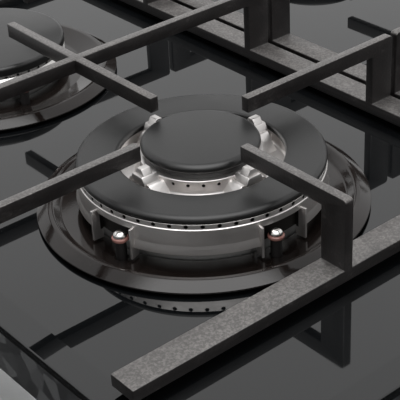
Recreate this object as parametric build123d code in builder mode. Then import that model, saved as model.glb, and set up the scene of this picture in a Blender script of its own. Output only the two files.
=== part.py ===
"""Built-in gas cooktop with a glass top, four burners and two cast-iron grates.

Millimetres, +Z up, +X to the cook's right, +Y away from the cook. The origin is the middle
of the base pan's underside. Sizes of burners, grates and knobs count from the glass's upper
face, which lies glass_top above the origin.
"""

from build123d import *

import math
import os
from dataclasses import dataclass

os.makedirs("parts", exist_ok=True)

# ---- Housing ------------------------------------------------------------------------------
side_margin = 9.25
rear_margin = 13.75
glass_thickness = 6.0
glass_corner = 10.0
bevel_width = 14.0
bevel_drop = 0.8
arris = 0.5
side_overhang = 14.0
end_overhang = 23.0
pan_height = 50.0
pan_corner = 6.0
pan_lip = 10.0
pan_seam = 12.0
sheet = 1.0
seal_thickness = 3.0
seal_inset = 3.0
seal_gap = 1.5
channel_width = 40.0
channel_height = 9.0
channel_end_gap = 1.0
vent_length = 70.0
vent_width = 5.0
vent_pitch = 12.0
bracket_width = 20.0
bracket_inset = 77.0
bracket_sheet = 1.5
bracket_reach = 12.0
bracket_bottom = 12.0
bracket_height = 26.0

# ---- Screws, all of one size --------------------------------------------------------------
screw_radius = 2.0
screw_head_radius = 3.4
screw_head_height = 2.2
screw_clearance = 0.1
screw_grip = 4.0

# ---- What every burner shares -------------------------------------------------------------
burner_pitch = 216.0
seat_overhang = 6.0
cup_wall = 3.0
flange_thickness = 3.0
flange_drop = 3.0
flange_margin = 2.5
boss_radius = 8.0
boss_height = 29.0
boss_bore = 2.6
injector_flats = 9.0
injector_height = 9.0
injector_bore = 0.6
gas_height = 33.0
spout_radius = 5.5
spout_reach = 6.0
gas_bore = 2.0
spigot_gap = 0.4
spigot_depth = 4.2
spigot_wall = 2.0
venturi_bore = 4.5
venturi_wall = 3.0
venturi_drop = 5.0
port_drop = 1.4
port_radius = 0.9
band_inset = 1.7
band_drop = 2.4
head_wall = 4.5
head_floor = 3.0
rib_gap = 1.0
rib_width = 2.0
rib_depth = 1.6

# ---- Spark electrode and thermocouple beside each head ------------------------------------
spark_angle = -167.0
sensor_angle = -98.0
post_offset = 2.0
post_radius = 3.0
post_gap = 0.5
post_length = 16.0
collar_rise = 2.8
collar_radius = 4.1
collar_height = 3.0
dome_radius = 3.8
dome_height = 3.4
dome_rim = 0.3
pin_radius = 1.1
pin_clearance = 0.1
pin_length = 24.0

# ---- Drip rings ---------------------------------------------------------------------------
ring_sheet = 1.2
ring_floor = 2.0
ring_seal_width = 4.0
ring_seal_margin = 1.0
crest_height = 6.2
rim_height = 2.6
rim_slope = 7.4

# ---- Triple-crown head of the wok burner --------------------------------------------------
wok_rim_radius = 90.3
skirt_flare = 1.3
skirt_height = 4.9
gas_channel_depth = 11.4
gas_channel_width = 12.5
throat_radius = 46.5
web_rise = 4.0
crown_radius = 33.0
crown_wall = 5.0
crown_rise = 3.6
crown_flare = 3.0
crown_bore = 7.0
crown_port_drop = 2.6
crown_port_radius = 0.8
crown_port_angles = (24, 38, 52, 66)
bridge_foot = 22.0
bridge_step = 15.0
bridge_shoulder = 10.8
bridge_ridge = 6.0
bridge_step_height = 28.6
bridge_shoulder_height = 29.2
bridge_height = 34.0
bridge_gap = 0.6
lug_width = 10.0
lug_height = 6.0
lug_middle = 22.0
window_half_angle = 11.0
window_angles = (-172.6, -93.1)
window_top = 19.8
window_skin = 1.0
fin_thickness = 1.3
fin_length = 6.2
fin_bottom = 3.2
fin_top = 20.8
feed_holes = 12
feed_radius = 1.8
ring_cap_opening = 44.8
ring_cap_height = 3.4
crown_cap_radius = 32.0
crown_cap_height = 5.3

# ---- Grates -------------------------------------------------------------------------------
grate_shift_x = 2.0
grate_shift_y = 1.0
grate_gap = 3.5
ring_to_bar = 4.45
finger_thickness = 5.5
finger_height = 9.0
grate_height = 50.0
frame_width = 16.5
frame_height = 7.0
inner_bar_reach = 140.0
outer_rail_reach = 128.0
leg_width = 9.0
tip_long = 38.2
tip_short = 34.6
casting_bevel = 0.7
foot_radius = 5.0
foot_height = 3.7
foot_bevel = 0.8
stud_radius = 2.4
stud_length = 3.5
stud_clearance = 0.05

# ---- Controls -----------------------------------------------------------------------------
knob_pitch = 52.0
knob_inset = 38.0
bezel_to_bar = 4.25
knob_radius = 19.0
knob_gap = 3.0
knob_skirt = 8.0
knob_height = 21.0
knob_shell = 2.5
knob_travel = 2.5
skirt_round = 1.5
grip_round = 1.2
hub_radius = 7.5
hub_rise = 2.0
grip_width = 11.0
grip_inset = 1.5
pointer_width = 1.6
pointer_length = 8.0
pointer_depth = 0.6
stem_radius = 4.0
stem_clearance = 0.08
stem_cover = 4.0
stem_bottom = 33.0
stem_hole = 7.0
stem_seal_gap = 0.3
stem_seal_fit = 0.1
stem_seal_flange = 9.0
stem_seal_height = 1.2
bezel_gap = 1.0
bezel_width = 3.5
bezel_height = 2.0
tap_width = 22.0
tap_height = 21.0
tap_ear = 7.0
tap_ear_height = 3.0
plug_radius = 6.0
plug_clearance = 0.05
plug_bottom = 27.0
plug_length = 11.0
plug_end_gap = 0.3
magnet_radius = 6.5
magnet_length = 12.0
magnet_tail_radius = 4.5
magnet_tail = 5.0
magnet_height = 38.0

# ---- Gas and wires inside the pan ---------------------------------------------------------
rail_size = 16.0
rail_bottom = 9.0
rail_end = 26.0
rail_wall = 2.0
rail_bracket_width = 12.0
rail_bracket_inset = 12.0
pipe_radius = 6.0
pipe_wall = 1.5
pipe_inset = 26.0
pipe_stub = 4.0
pipe_bend = 20.0
pipe_end_gap = 32.0
inlet_thread_radius = 10.48
inlet_thread_length = 10.0
inlet_relief_radius = 9.6
inlet_relief_length = 1.0
bulkhead_radius = 11.0
inlet_hex = 28.0
inlet_hex_length = 8.0
inlet_neck_radius = 10.0
nut_flats = 30.0
nut_thickness = 5.0
tube_radius = 4.0
tube_bend = 14.0
tube_turn = 44.0
lead_radius = 1.2
lead_bend = 5.0
sensor_lead_height = 25.0
sensor_lead_step = 8.0
sensor_lead_drop = 22.0
sensor_lead_offset = 41.0
spark_lead_height = 14.0
spark_lead_offset = 12.0
supply_lead_radius = 2.4
module_width = 60.0
module_depth = 64.0
module_height = 20.0
module_y = 30.0
module_round = 1.5
module_terminal_inset = 10.0
module_ear = 8.0
module_ear_height = 2.0
terminal_width = 30.0
terminal_depth = 18.0
terminal_height = 16.0
terminal_inset = 31.0
gland_radius = 8.0
gland_bore = 4.5
gland_height = 25.0
gland_hex = 22.0
gland_outer_length = 9.0
gland_hex_length = 5.0

# ---- Sizes that follow --------------------------------------------------------------------
end_bar_reach = wok_rim_radius + grate_shift_y + ring_to_bar + frame_width / 2
bezel_radius = knob_radius + bezel_gap + bezel_width
front_zone = knob_inset + bezel_radius + bezel_to_bar + frame_width / 2 + end_bar_reach - grate_shift_y
rear_zone = rear_margin + frame_width / 2 + end_bar_reach + grate_shift_y
burner_x = grate_gap / 2 + frame_width / 2 + inner_bar_reach - grate_shift_x
glass_width = 2 * (burner_x + grate_shift_x + outer_rail_reach + finger_thickness / 2 + side_margin)
glass_depth = front_zone + burner_pitch + rear_zone
front_burner_y = front_zone - glass_depth / 2
rear_burner_y = front_burner_y + burner_pitch
knob_y = knob_inset - glass_depth / 2
pan_width = glass_width - 2 * side_overhang
pan_depth = glass_depth - 2 * end_overhang
glass_top = pan_height + glass_thickness
channel_top = sheet + channel_height
bracket_y = pan_depth / 2 - bracket_inset
bracket_screw_z = bracket_bottom + bracket_height * 0.7
rail_top = rail_bottom + rail_size
rail_middle = rail_bottom + rail_size / 2
tap_top = rail_top + tap_height
plug_top = plug_bottom + plug_length
knob_bottom = glass_top + knob_gap
knob_top = knob_bottom + knob_height
stem_top = knob_top - stem_cover
knob_places = [knob_pitch * (i - 1.5) for i in range(4)]
wall_outside = pan_depth / 2
wall_inside = wall_outside - sheet
pipe_x = pan_width / 2 - pipe_inset
rail_left = knob_places[0] - rail_end
rail_right = pipe_x - pipe_bend - pipe_stub
tube_turn_y = knob_y + tube_turn
terminal_y = wall_inside - terminal_inset
inlet_thread_start = wall_outside + nut_thickness + inlet_relief_length
finger_bottom = grate_height - finger_height
frame_top = foot_height + frame_height
standing = (Align.CENTER, Align.CENTER, Align.MIN)
hanging = (Align.CENTER, Align.CENTER, Align.MAX)


@dataclass
class Burner:
    """One burner. Heights are above the glass, turns are degrees round its axis."""

    name: str
    x: float
    y: float
    head_radius: float
    rim_radius: float
    seat_height: float
    head_height: float
    cap_height: float
    ports: int
    inlet_angle: float
    post_turn: float

    @property
    def cup_radius(self):
        return self.head_radius - seat_overhang

    @property
    def cup_inside(self):
        return self.cup_radius - cup_wall

    @property
    def head_top(self):
        return self.seat_height + self.head_height

    @property
    def port_height(self):
        return self.head_top - port_drop

    @property
    def post_circle(self):
        return self.head_radius + post_offset

    @property
    def glass_hole(self):
        return self.post_circle + post_radius + post_gap

    @property
    def spigot_radius(self):
        return self.cup_inside - spigot_gap

    @property
    def crest_radius(self):
        return self.rim_radius - rim_slope

    @property
    def collar_base(self):
        return self.seat_height + collar_rise

    def around(self, radius, angle):
        """Point at a radius and an angle round the burner's axis."""
        turn = math.radians(angle)
        return self.x + radius * math.cos(turn), self.y + radius * math.sin(turn)

    def posts(self):
        """Places of the spark electrode and the thermocouple."""
        angles = (spark_angle + self.post_turn, sensor_angle + self.post_turn)
        return [self.around(self.post_circle, angle) for angle in angles]

    def screws(self):
        """Places of the two screws that hold the cup down on its channel."""
        reach = (boss_radius + self.cup_inside) / 2
        return [(self.x - reach, self.y), (self.x + reach, self.y)]


wok = Burner(
    name="wok",
    x=-burner_x,
    y=front_burner_y,
    head_radius=67.0,
    rim_radius=wok_rim_radius,
    seat_height=9.2,
    head_height=18.2,
    cap_height=ring_cap_height,
    ports=50,
    inlet_angle=-90,
    post_turn=0,
)
rapid = Burner(
    name="rapid",
    x=-burner_x,
    y=rear_burner_y,
    head_radius=50.0,
    rim_radius=82.4,
    seat_height=7.0,
    head_height=14.2,
    cap_height=6.0,
    ports=40,
    inlet_angle=0,
    post_turn=0,
)
semi_rapid = Burner(
    name="semi_rapid",
    x=burner_x,
    y=rear_burner_y,
    head_radius=37.0,
    rim_radius=62.0,
    seat_height=7.0,
    head_height=14.2,
    cap_height=6.0,
    ports=30,
    inlet_angle=180,
    post_turn=30,
)
auxiliary = Burner(
    name="auxiliary",
    x=burner_x,
    y=front_burner_y,
    head_radius=25.0,
    rim_radius=50.0,
    seat_height=7.0,
    head_height=14.2,
    cap_height=5.5,
    ports=20,
    inlet_angle=180,
    post_turn=30,
)
burners = [wok, rapid, semi_rapid, auxiliary]
round_burners = [rapid, semi_rapid, auxiliary]


def level(height):
    """Horizontal plane at a height over the pan's underside."""
    return Plane.XY.offset(height)


def over_glass(height):
    return level(glass_top + height)


def cut_through(x, y):
    """Upright plane through a vertical axis: X is the radius and Y the height over the glass."""
    return Plane(origin=(x, y, glass_top), x_dir=(1, 0, 0), z_dir=(0, -1, 0))


def across_wall(x, y, z):
    """Upright plane that faces the back."""
    return Plane(origin=(x, y, z), x_dir=(1, 0, 0), z_dir=(0, 1, 0))


def outward(burner, radius, angle, height):
    """Plane that faces away from a burner's axis, with its X along the circle and its Y up."""
    turn = math.radians(angle)
    x, y = burner.around(radius, angle)
    return Plane(
        origin=(x, y, glass_top + height),
        x_dir=(-math.sin(turn), math.cos(turn), 0),
        z_dir=(math.cos(turn), math.sin(turn), 0),
    )


def turned(x, y, outline, rounds=None):
    """Solid of revolution of a closed outline of radii and heights over the glass."""
    with BuildPart() as body:
        with BuildSketch(cut_through(x, y)):
            with BuildLine():
                if rounds:
                    FilletPolyline(*outline, radius=rounds, close=True)
                else:
                    Polyline(*outline, close=True)
            make_face()
        revolve(axis=Axis((x, y, 0), (0, 0, 1)))
    return body.part


def rod(route, radius, bend):
    """Round rod along straight runs joined by tangent arcs."""
    with BuildPart() as body:
        with BuildLine() as path:
            FilletPolyline(*route, radius=bend)
        with BuildSketch(Plane(origin=path.line @ 0, z_dir=path.line % 0)):
            Circle(radius)
        sweep(path=path.line)
    return body.part


def save(part, name):
    part.label = name
    export_step(part, f"parts/{name}.step")


# ---- Housing ------------------------------------------------------------------------------
with BuildPart() as glass_plate:
    with BuildSketch(level(pan_height)):
        RectangleRounded(glass_width, glass_depth, glass_corner)
    extrude(amount=glass_thickness)
    chamfer(glass_plate.faces().sort_by(Axis.Z)[-1].edges(), bevel_drop + arris)
    # shallow bevel along all four edges
    for plane, half in (
        (Plane.XZ.offset(-glass_depth), glass_width / 2),
        (Plane.YZ.offset(-glass_width), glass_depth / 2),
    ):
        with BuildSketch(plane):
            for side in (-1, 1):
                start = side * (half - bevel_width)
                end = side * (half + bevel_width)
                with BuildLine():
                    Polyline(
                        (start, glass_top),
                        (end, glass_top),
                        (end, glass_top - 2 * bevel_drop),
                        close=True,
                    )
                make_face()
        extrude(amount=2 * max(glass_width, glass_depth), mode=Mode.SUBTRACT)
    with BuildSketch(level(pan_height)):
        for burner in burners:
            with Locations((burner.x, burner.y)):
                Circle(burner.glass_hole)
        with Locations(*[(x, knob_y) for x in knob_places]):
            Circle(stem_hole)
    extrude(amount=glass_thickness, mode=Mode.SUBTRACT)
save(glass_plate.part, "glass_top")

with BuildPart() as pan_floor:
    with BuildSketch():
        RectangleRounded(pan_width, pan_depth, pan_corner)
        # ventilation slots
        with Locations((0, (rear_burner_y + module_y) / 2)):
            with GridLocations(0, vent_pitch, 1, 3):
                SlotOverall(vent_length, vent_width, mode=Mode.SUBTRACT)
    extrude(amount=sheet)

with BuildPart() as pan_sides:
    with BuildSketch(level(sheet)):
        RectangleRounded(pan_width, pan_depth, pan_corner)
    extrude(amount=pan_height - sheet)
    with BuildSketch(level(sheet)):
        RectangleRounded(pan_width - 2 * sheet, pan_depth - 2 * sheet, pan_corner - sheet)
    extrude(amount=pan_height - 2 * sheet, mode=Mode.SUBTRACT)
    with BuildSketch(level(pan_height - sheet)):
        RectangleRounded(pan_width - 2 * pan_lip, pan_depth - 2 * pan_lip, pan_corner)
    extrude(amount=sheet, mode=Mode.SUBTRACT)
    # gas inlet and cable gland through the rear wall
    with Locations(across_wall(pipe_x, wall_inside - sheet, rail_middle)):
        Cylinder(bulkhead_radius + screw_clearance, 3 * sheet, align=standing, mode=Mode.SUBTRACT)
    with Locations(across_wall(0, wall_inside - sheet, gland_height)):
        Cylinder(gland_radius + screw_clearance, 3 * sheet, align=standing, mode=Mode.SUBTRACT)
    # bracket screws through both side walls
    with BuildSketch(Plane.YZ.offset(-pan_width)):
        with Locations((-bracket_y, bracket_screw_z), (bracket_y, bracket_screw_z)):
            Circle(screw_radius + screw_clearance)
    extrude(amount=2 * pan_width, mode=Mode.SUBTRACT)
    # seams between the folded sides
    for side in (-1, 1):
        split(bisect_by=Plane.YZ.offset(side * (pan_width / 2 - pan_seam)), keep=Keep.BOTH)
save(Compound([*pan_floor.solids(), *pan_sides.solids()]), "base_pan")

with BuildPart() as seal_strip:
    with BuildSketch(level(pan_height - seal_thickness)):
        RectangleRounded(
            glass_width - 2 * seal_inset, glass_depth - 2 * seal_inset, glass_corner - seal_inset
        )
        RectangleRounded(
            pan_width + 2 * seal_gap, pan_depth + 2 * seal_gap, pan_corner, mode=Mode.SUBTRACT
        )
    extrude(amount=seal_thickness)
save(seal_strip.part, "seal_strip")

with BuildPart() as cross_channels:
    channel_length = pan_width - 2 * sheet - 2 * channel_end_gap
    for channel_y in (front_burner_y, rear_burner_y):
        with BuildSketch(level(sheet)):
            with Locations((0, channel_y)):
                Rectangle(channel_length, channel_width)
        extrude(amount=channel_height)
        with BuildSketch(level(sheet)):
            with Locations((0, channel_y)):
                Rectangle(channel_length, channel_width - 2 * sheet)
        extrude(amount=channel_height - sheet, mode=Mode.SUBTRACT)
    with BuildSketch(level(sheet)):
        for burner in burners:
            with Locations(*burner.screws()):
                Circle(screw_radius + screw_clearance)
    extrude(amount=channel_height, mode=Mode.SUBTRACT)
save(cross_channels.part, "cross_channels")

with BuildPart() as fixing_brackets:
    for side in (-1, 1):
        wall = side * pan_width / 2
        face = wall + side * bracket_sheet
        tip = wall + side * bracket_reach
        toe = bracket_bottom + bracket_sheet
        top = bracket_bottom + bracket_height
        for end in (-1, 1):
            with BuildSketch(Plane.XZ.offset(-(end * bracket_y + bracket_width / 2))):
                with BuildLine():
                    Polyline(
                        (wall, bracket_bottom),
                        (tip, bracket_bottom),
                        (tip, toe),
                        (face, toe),
                        (face, top),
                        (wall, top),
                        close=True,
                    )
                make_face()
            extrude(amount=bracket_width)
    with BuildSketch(Plane.YZ.offset(-pan_width)):
        with Locations((-bracket_y, bracket_screw_z), (bracket_y, bracket_screw_z)):
            Circle(screw_radius + screw_clearance)
    extrude(amount=2 * pan_width, mode=Mode.SUBTRACT)
save(fixing_brackets.part, "fixing_brackets")


def screw_seats():
    """Planes that the screw heads lie on, facing out of the screwed piece."""
    seats = []
    for burner in burners:
        seats += [Plane(origin=(x, y, channel_top + cup_wall)) for x, y in burner.screws()]
    for x in knob_places:
        for side in (-1, 1):
            place = x + side * (tap_width + tap_ear) / 2
            seats.append(Plane(origin=(place, knob_y, rail_top + tap_ear_height)))
    for side in (-1, 1):
        for end in (-1, 1):
            face = side * (pan_width / 2 + bracket_sheet)
            seats.append(Plane(origin=(face, end * bracket_y, bracket_screw_z), z_dir=(side, 0, 0)))
    return seats


with BuildPart() as screws:
    with Locations(*screw_seats()):
        Cylinder(screw_head_radius, screw_head_height, align=standing)
        Cylinder(screw_radius, screw_grip, align=hanging)
save(screws.part, "screws")


# ---- Cups, injectors and drip rings -------------------------------------------------------
def burner_cup(burner):
    """Cast cup with its flange for the posts, the injector boss and the gas spout."""
    floor = channel_top - glass_top
    flange_top = -glass_thickness - flange_drop
    flange_radius = burner.post_circle + post_radius + flange_margin
    shell = turned(
        burner.x,
        burner.y,
        [
            (0, floor),
            (burner.cup_radius, floor),
            (burner.cup_radius, flange_top - flange_thickness),
            (flange_radius, flange_top - flange_thickness),
            (flange_radius, flange_top),
            (burner.cup_radius, flange_top),
            (burner.cup_radius, burner.seat_height),
            (burner.cup_inside, burner.seat_height),
            (burner.cup_inside, floor + cup_wall),
            (0, floor + cup_wall),
        ],
    )
    spout = outward(burner, 0, burner.inlet_angle, gas_height - glass_top)
    spout_length = burner.cup_radius + spout_reach
    with BuildPart() as body:
        add(shell)
        with Locations((burner.x, burner.y, channel_top)):
            Cylinder(boss_radius, boss_height, align=standing)
        with Locations(spout):
            Cylinder(spout_radius, spout_length, align=standing)
            Cylinder(gas_bore, spout_length, align=standing, mode=Mode.SUBTRACT)
        with Locations((burner.x, burner.y, gas_height)):
            Cylinder(boss_bore, boss_height, align=standing, mode=Mode.SUBTRACT)
        with Locations(*[(x, y, channel_top) for x, y in burner.screws()]):
            Cylinder(screw_radius + screw_clearance, cup_wall, align=standing, mode=Mode.SUBTRACT)
        with BuildSketch(over_glass(flange_top - flange_thickness)):
            with Locations(*burner.posts()):
                Circle(post_radius + screw_clearance)
        extrude(amount=flange_thickness, mode=Mode.SUBTRACT)
    return body.part


def drip_ring(burner):
    """Pressed sheet with a flat floor, a raised crest and a rim that stays over the glass."""
    flat = burner.glass_hole + ring_seal_width + ring_seal_margin
    crest = burner.crest_radius
    upper = [
        (burner.cup_radius + spigot_gap, ring_floor),
        (flat, ring_floor),
        (crest - ring_sheet, crest_height),
        (crest + ring_sheet, crest_height),
        (burner.rim_radius, rim_height),
    ]
    lower = [(radius, height - ring_sheet) for radius, height in reversed(upper)]
    bends = [0, 1.6, 1.4, 1.4, 0]
    sheet_ring = turned(burner.x, burner.y, upper + lower, bends + bends[::-1])
    with BuildPart() as body:
        add(sheet_ring)
        with BuildSketch(over_glass(0)):
            with Locations(*burner.posts()):
                Circle(post_radius + post_gap)
        extrude(amount=ring_floor, mode=Mode.SUBTRACT)
    return body.part


for burner in burners:
    save(burner_cup(burner), f"{burner.name}_cup")
    save(drip_ring(burner), f"{burner.name}_drip_ring")

with BuildPart() as injectors:
    with BuildSketch(level(channel_top + boss_height)):
        with Locations(*[(burner.x, burner.y) for burner in burners]):
            RegularPolygon(injector_flats / 2, 6, major_radius=False)
            Circle(injector_bore, mode=Mode.SUBTRACT)
    extrude(amount=injector_height)
save(injectors.part, "injectors")

with BuildPart() as ring_seals:
    with BuildSketch(over_glass(0)):
        for burner in burners:
            with Locations((burner.x, burner.y)):
                Circle(burner.glass_hole + ring_seal_width)
                Circle(burner.glass_hole + post_gap, mode=Mode.SUBTRACT)
    extrude(amount=ring_floor - ring_sheet)
save(ring_seals.part, "ring_seals")


# ---- Burner heads -------------------------------------------------------------------------
def wok_burner_head():
    """Triple-crown head: ported outer ring, small crown, four stepped bridges, open throat."""
    seat = wok.seat_height
    wall = wok.head_radius
    top = wok.head_top
    floor = top - gas_channel_depth
    channel_outer = wall - head_wall
    channel_inner = channel_outer - gas_channel_width
    crown_top = top + crown_rise
    crown_inside = crown_radius - crown_wall
    casting = turned(
        wok.x,
        wok.y,
        [
            (crown_bore, -venturi_drop),
            (crown_bore + venturi_wall, -venturi_drop),
            (crown_bore + venturi_wall, floor - head_floor),
            (wok.spigot_radius - spigot_wall, floor - head_floor),
            (wok.spigot_radius - spigot_wall, seat - spigot_depth),
            (wok.spigot_radius, seat - spigot_depth),
            (wok.spigot_radius, seat),
            (wall + skirt_flare, seat),
            (wall, seat + skirt_height),
            (wall, top - band_drop - band_inset),
            (wall - band_inset, top - band_drop),
            (wall - band_inset, top),
            (channel_outer, top),
            (channel_outer, floor),
            (channel_inner, floor),
            (channel_inner, top),
            (throat_radius, top),
            (throat_radius, floor + web_rise),
            (crown_radius + crown_flare, floor + web_rise),
            (crown_radius, floor + 2 * web_rise),
            (crown_radius, crown_top),
            (crown_inside, crown_top),
            (crown_inside, floor),
            (crown_bore, floor),
        ],
    )
    port_step = 360 / wok.ports
    ports = [outward(wok, channel_outer - 1, port_step * i, wok.port_height) for i in range(wok.ports)]
    crown_angles = [90 * quarter + angle for quarter in range(4) for angle in crown_port_angles]
    crown_height = crown_top - crown_port_drop
    crown_ports = [outward(wok, crown_inside - 1, angle, crown_height) for angle in crown_angles]
    bridge_start = crown_cap_radius + bridge_gap
    bridge_end = math.sqrt((ring_cap_opening - bridge_gap) ** 2 - (bridge_foot / 2) ** 2)
    right_flank = [
        (bridge_foot / 2, floor + web_rise),
        (bridge_step / 2, bridge_step_height),
        (bridge_shoulder / 2, bridge_shoulder_height),
        (bridge_ridge / 2, bridge_height),
    ]
    left_flank = [(-across, height) for across, height in reversed(right_flank)]
    with BuildPart() as body:
        add(casting)
        for quarter in range(4):
            with BuildSketch(outward(wok, bridge_start, 90 * quarter, 0)):
                with BuildLine():
                    Polyline(*right_flank, *left_flank, close=True)
                make_face()
            extrude(amount=bridge_end - bridge_start)
            # lug under the ring cap that joins the bridge to the ring
            with BuildSketch(outward(wok, bridge_end - 1, 90 * quarter, lug_middle)):
                Rectangle(lug_width, lug_height)
            extrude(amount=throat_radius - bridge_end + 2)
        # windows in the skirt in front of the electrode and the thermocouple
        for angle in window_angles:
            with BuildSketch(over_glass(seat)):
                with BuildLine():
                    Polyline(
                        (wok.x, wok.y),
                        wok.around(2 * wall, angle - window_half_angle),
                        wok.around(2 * wall, angle + window_half_angle),
                        close=True,
                    )
                make_face()
                with Locations((wok.x, wok.y)):
                    Circle(channel_outer + window_skin, mode=Mode.SUBTRACT)
            extrude(amount=window_top - seat, mode=Mode.SUBTRACT)
            # thin fins beside each window, which also keep the head from turning
            for side in (-1, 1):
                place = angle + side * window_half_angle
                with BuildSketch(outward(wok, wall - fin_length / 2, place, fin_bottom)):
                    with Locations((side * fin_thickness / 2, (fin_top - fin_bottom) / 2)):
                        Rectangle(fin_thickness, fin_top - fin_bottom)
                extrude(amount=fin_length)
        # gas ways from the cup into the outer ring
        with BuildSketch(over_glass(floor - head_floor)):
            with Locations((wok.x, wok.y)):
                with PolarLocations(channel_inner + 1.5 * feed_radius, feed_holes):
                    Circle(feed_radius)
        extrude(amount=head_floor, mode=Mode.SUBTRACT)
        with Locations(*ports):
            Cylinder(port_radius, head_wall + 2, align=standing, mode=Mode.SUBTRACT)
        with Locations(*crown_ports):
            Cylinder(crown_port_radius, crown_wall + 2, align=standing, mode=Mode.SUBTRACT)
    return body.part


def round_burner_head(burner):
    """Plain ported ring with notches for the two posts; the cap closes its open top."""
    seat = burner.seat_height
    wall = burner.head_radius
    top = burner.head_top
    inside = wall - head_wall
    casting = turned(
        burner.x,
        burner.y,
        [
            (venturi_bore, -venturi_drop),
            (venturi_bore + venturi_wall, -venturi_drop),
            (venturi_bore + venturi_wall, seat),
            (burner.spigot_radius - spigot_wall, seat),
            (burner.spigot_radius - spigot_wall, seat - spigot_depth),
            (burner.spigot_radius, seat - spigot_depth),
            (burner.spigot_radius, seat),
            (wall, seat),
            (wall, top - band_drop - band_inset),
            (wall - band_inset, top - band_drop),
            (wall - band_inset, top),
            (inside, top),
            (inside, seat + head_floor),
            (venturi_bore, seat + head_floor),
        ],
    )
    notch_top = burner.collar_base + collar_height + dome_height + 2 * post_gap
    port_step = 360 / burner.ports
    ports = [outward(burner, inside - 1, port_step * i, burner.port_height) for i in range(burner.ports)]
    with BuildPart() as body:
        add(casting)
        with BuildSketch(over_glass(seat)):
            with Locations(*burner.posts()):
                Circle(collar_radius + post_gap)
        extrude(amount=notch_top - seat, mode=Mode.SUBTRACT)
        with Locations(*ports):
            Cylinder(port_radius, head_wall + 2, align=standing, mode=Mode.SUBTRACT)
    return body.part


save(wok_burner_head(), "wok_head")
for burner in round_burners:
    save(round_burner_head(burner), f"{burner.name}_head")


# ---- Caps ---------------------------------------------------------------------------------
def wok_ring_cap():
    bottom = wok.head_top
    top = bottom + wok.cap_height
    rib_outside = wok.head_radius - head_wall - rib_gap
    outline = [
        (ring_cap_opening, bottom),
        (rib_outside - rib_width, bottom),
        (rib_outside - rib_width, bottom - rib_depth),
        (rib_outside, bottom - rib_depth),
        (rib_outside, bottom),
        (wok.head_radius, bottom),
        (wok.head_radius, top),
        (ring_cap_opening, top),
    ]
    return turned(wok.x, wok.y, outline, [0.4, 0, 0, 0, 0, 0.8, 2.0, 1.4])


def disc_cap(x, y, radius, rib_outside, bottom, top):
    """Round cap with a rounded edge and a rib that drops into the head."""
    outline = [
        (0, bottom),
        (rib_outside - rib_width, bottom),
        (rib_outside - rib_width, bottom - rib_depth),
        (rib_outside, bottom - rib_depth),
        (rib_outside, bottom),
        (radius, bottom),
        (radius, top),
        (0, top),
    ]
    return turned(x, y, outline, [0, 0, 0, 0, 0, 0.8, 2.4, 0])


crown_cap_bottom = wok.head_top + crown_rise
crown_rib = crown_radius - crown_wall - rib_gap
save(wok_ring_cap(), "wok_ring_cap")
save(
    disc_cap(
        wok.x, wok.y, crown_cap_radius, crown_rib, crown_cap_bottom, crown_cap_bottom + crown_cap_height
    ),
    "wok_crown_cap",
)
for burner in round_burners:
    cap_bottom = burner.head_top
    cap_rib = burner.head_radius - head_wall - rib_gap
    save(
        disc_cap(
            burner.x, burner.y, burner.head_radius, cap_rib, cap_bottom, cap_bottom + burner.cap_height
        ),
        f"{burner.name}_cap",
    )


# ---- Electrodes and thermocouples ---------------------------------------------------------
def ceramic_post(burner):
    """Insulator with its collar, bored for the electrode pin."""
    x, y = burner.posts()[0]
    bore = pin_radius + pin_clearance
    base = burner.collar_base
    return turned(
        x,
        y,
        [
            (bore, -post_length),
            (post_radius, -post_length),
            (post_radius, base),
            (collar_radius, base),
            (collar_radius, base + collar_height),
            (bore, base + collar_height),
        ],
    )


def domed_pin(place, shank, bottom, collar_base):
    """Pin with a domed tip. A shank as thick as a post carries the collar that ceramic has elsewhere."""
    dome_base = collar_base + collar_height
    dome_top = dome_base + dome_height
    shoulder = [(shank, dome_base)]
    if shank == post_radius:
        shoulder = [(shank, collar_base), (collar_radius, collar_base), (collar_radius, dome_base)]
    outline = [(0, bottom), (shank, bottom), *shoulder, (dome_radius, dome_base)]
    rounds = [0] * len(outline) + [dome_height - dome_rim, 0]
    return turned(*place, outline + [(dome_radius, dome_top), (0, dome_top)], rounds)


ceramics = [ceramic_post(burner) for burner in burners]
sparks = [
    domed_pin(burner.posts()[0], pin_radius, -pin_length, burner.collar_base) for burner in burners
]
sensors = [
    domed_pin(burner.posts()[1], post_radius, -post_length, burner.collar_base) for burner in burners
]

with BuildPart() as electrode_insulators:
    add(ceramics)
save(electrode_insulators.part, "electrode_insulators")

with BuildPart() as electrode_pins:
    add(sparks)
save(electrode_pins.part, "electrode_pins")

with BuildPart() as thermocouples:
    add(sensors)
save(thermocouples.part, "thermocouples")


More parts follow.
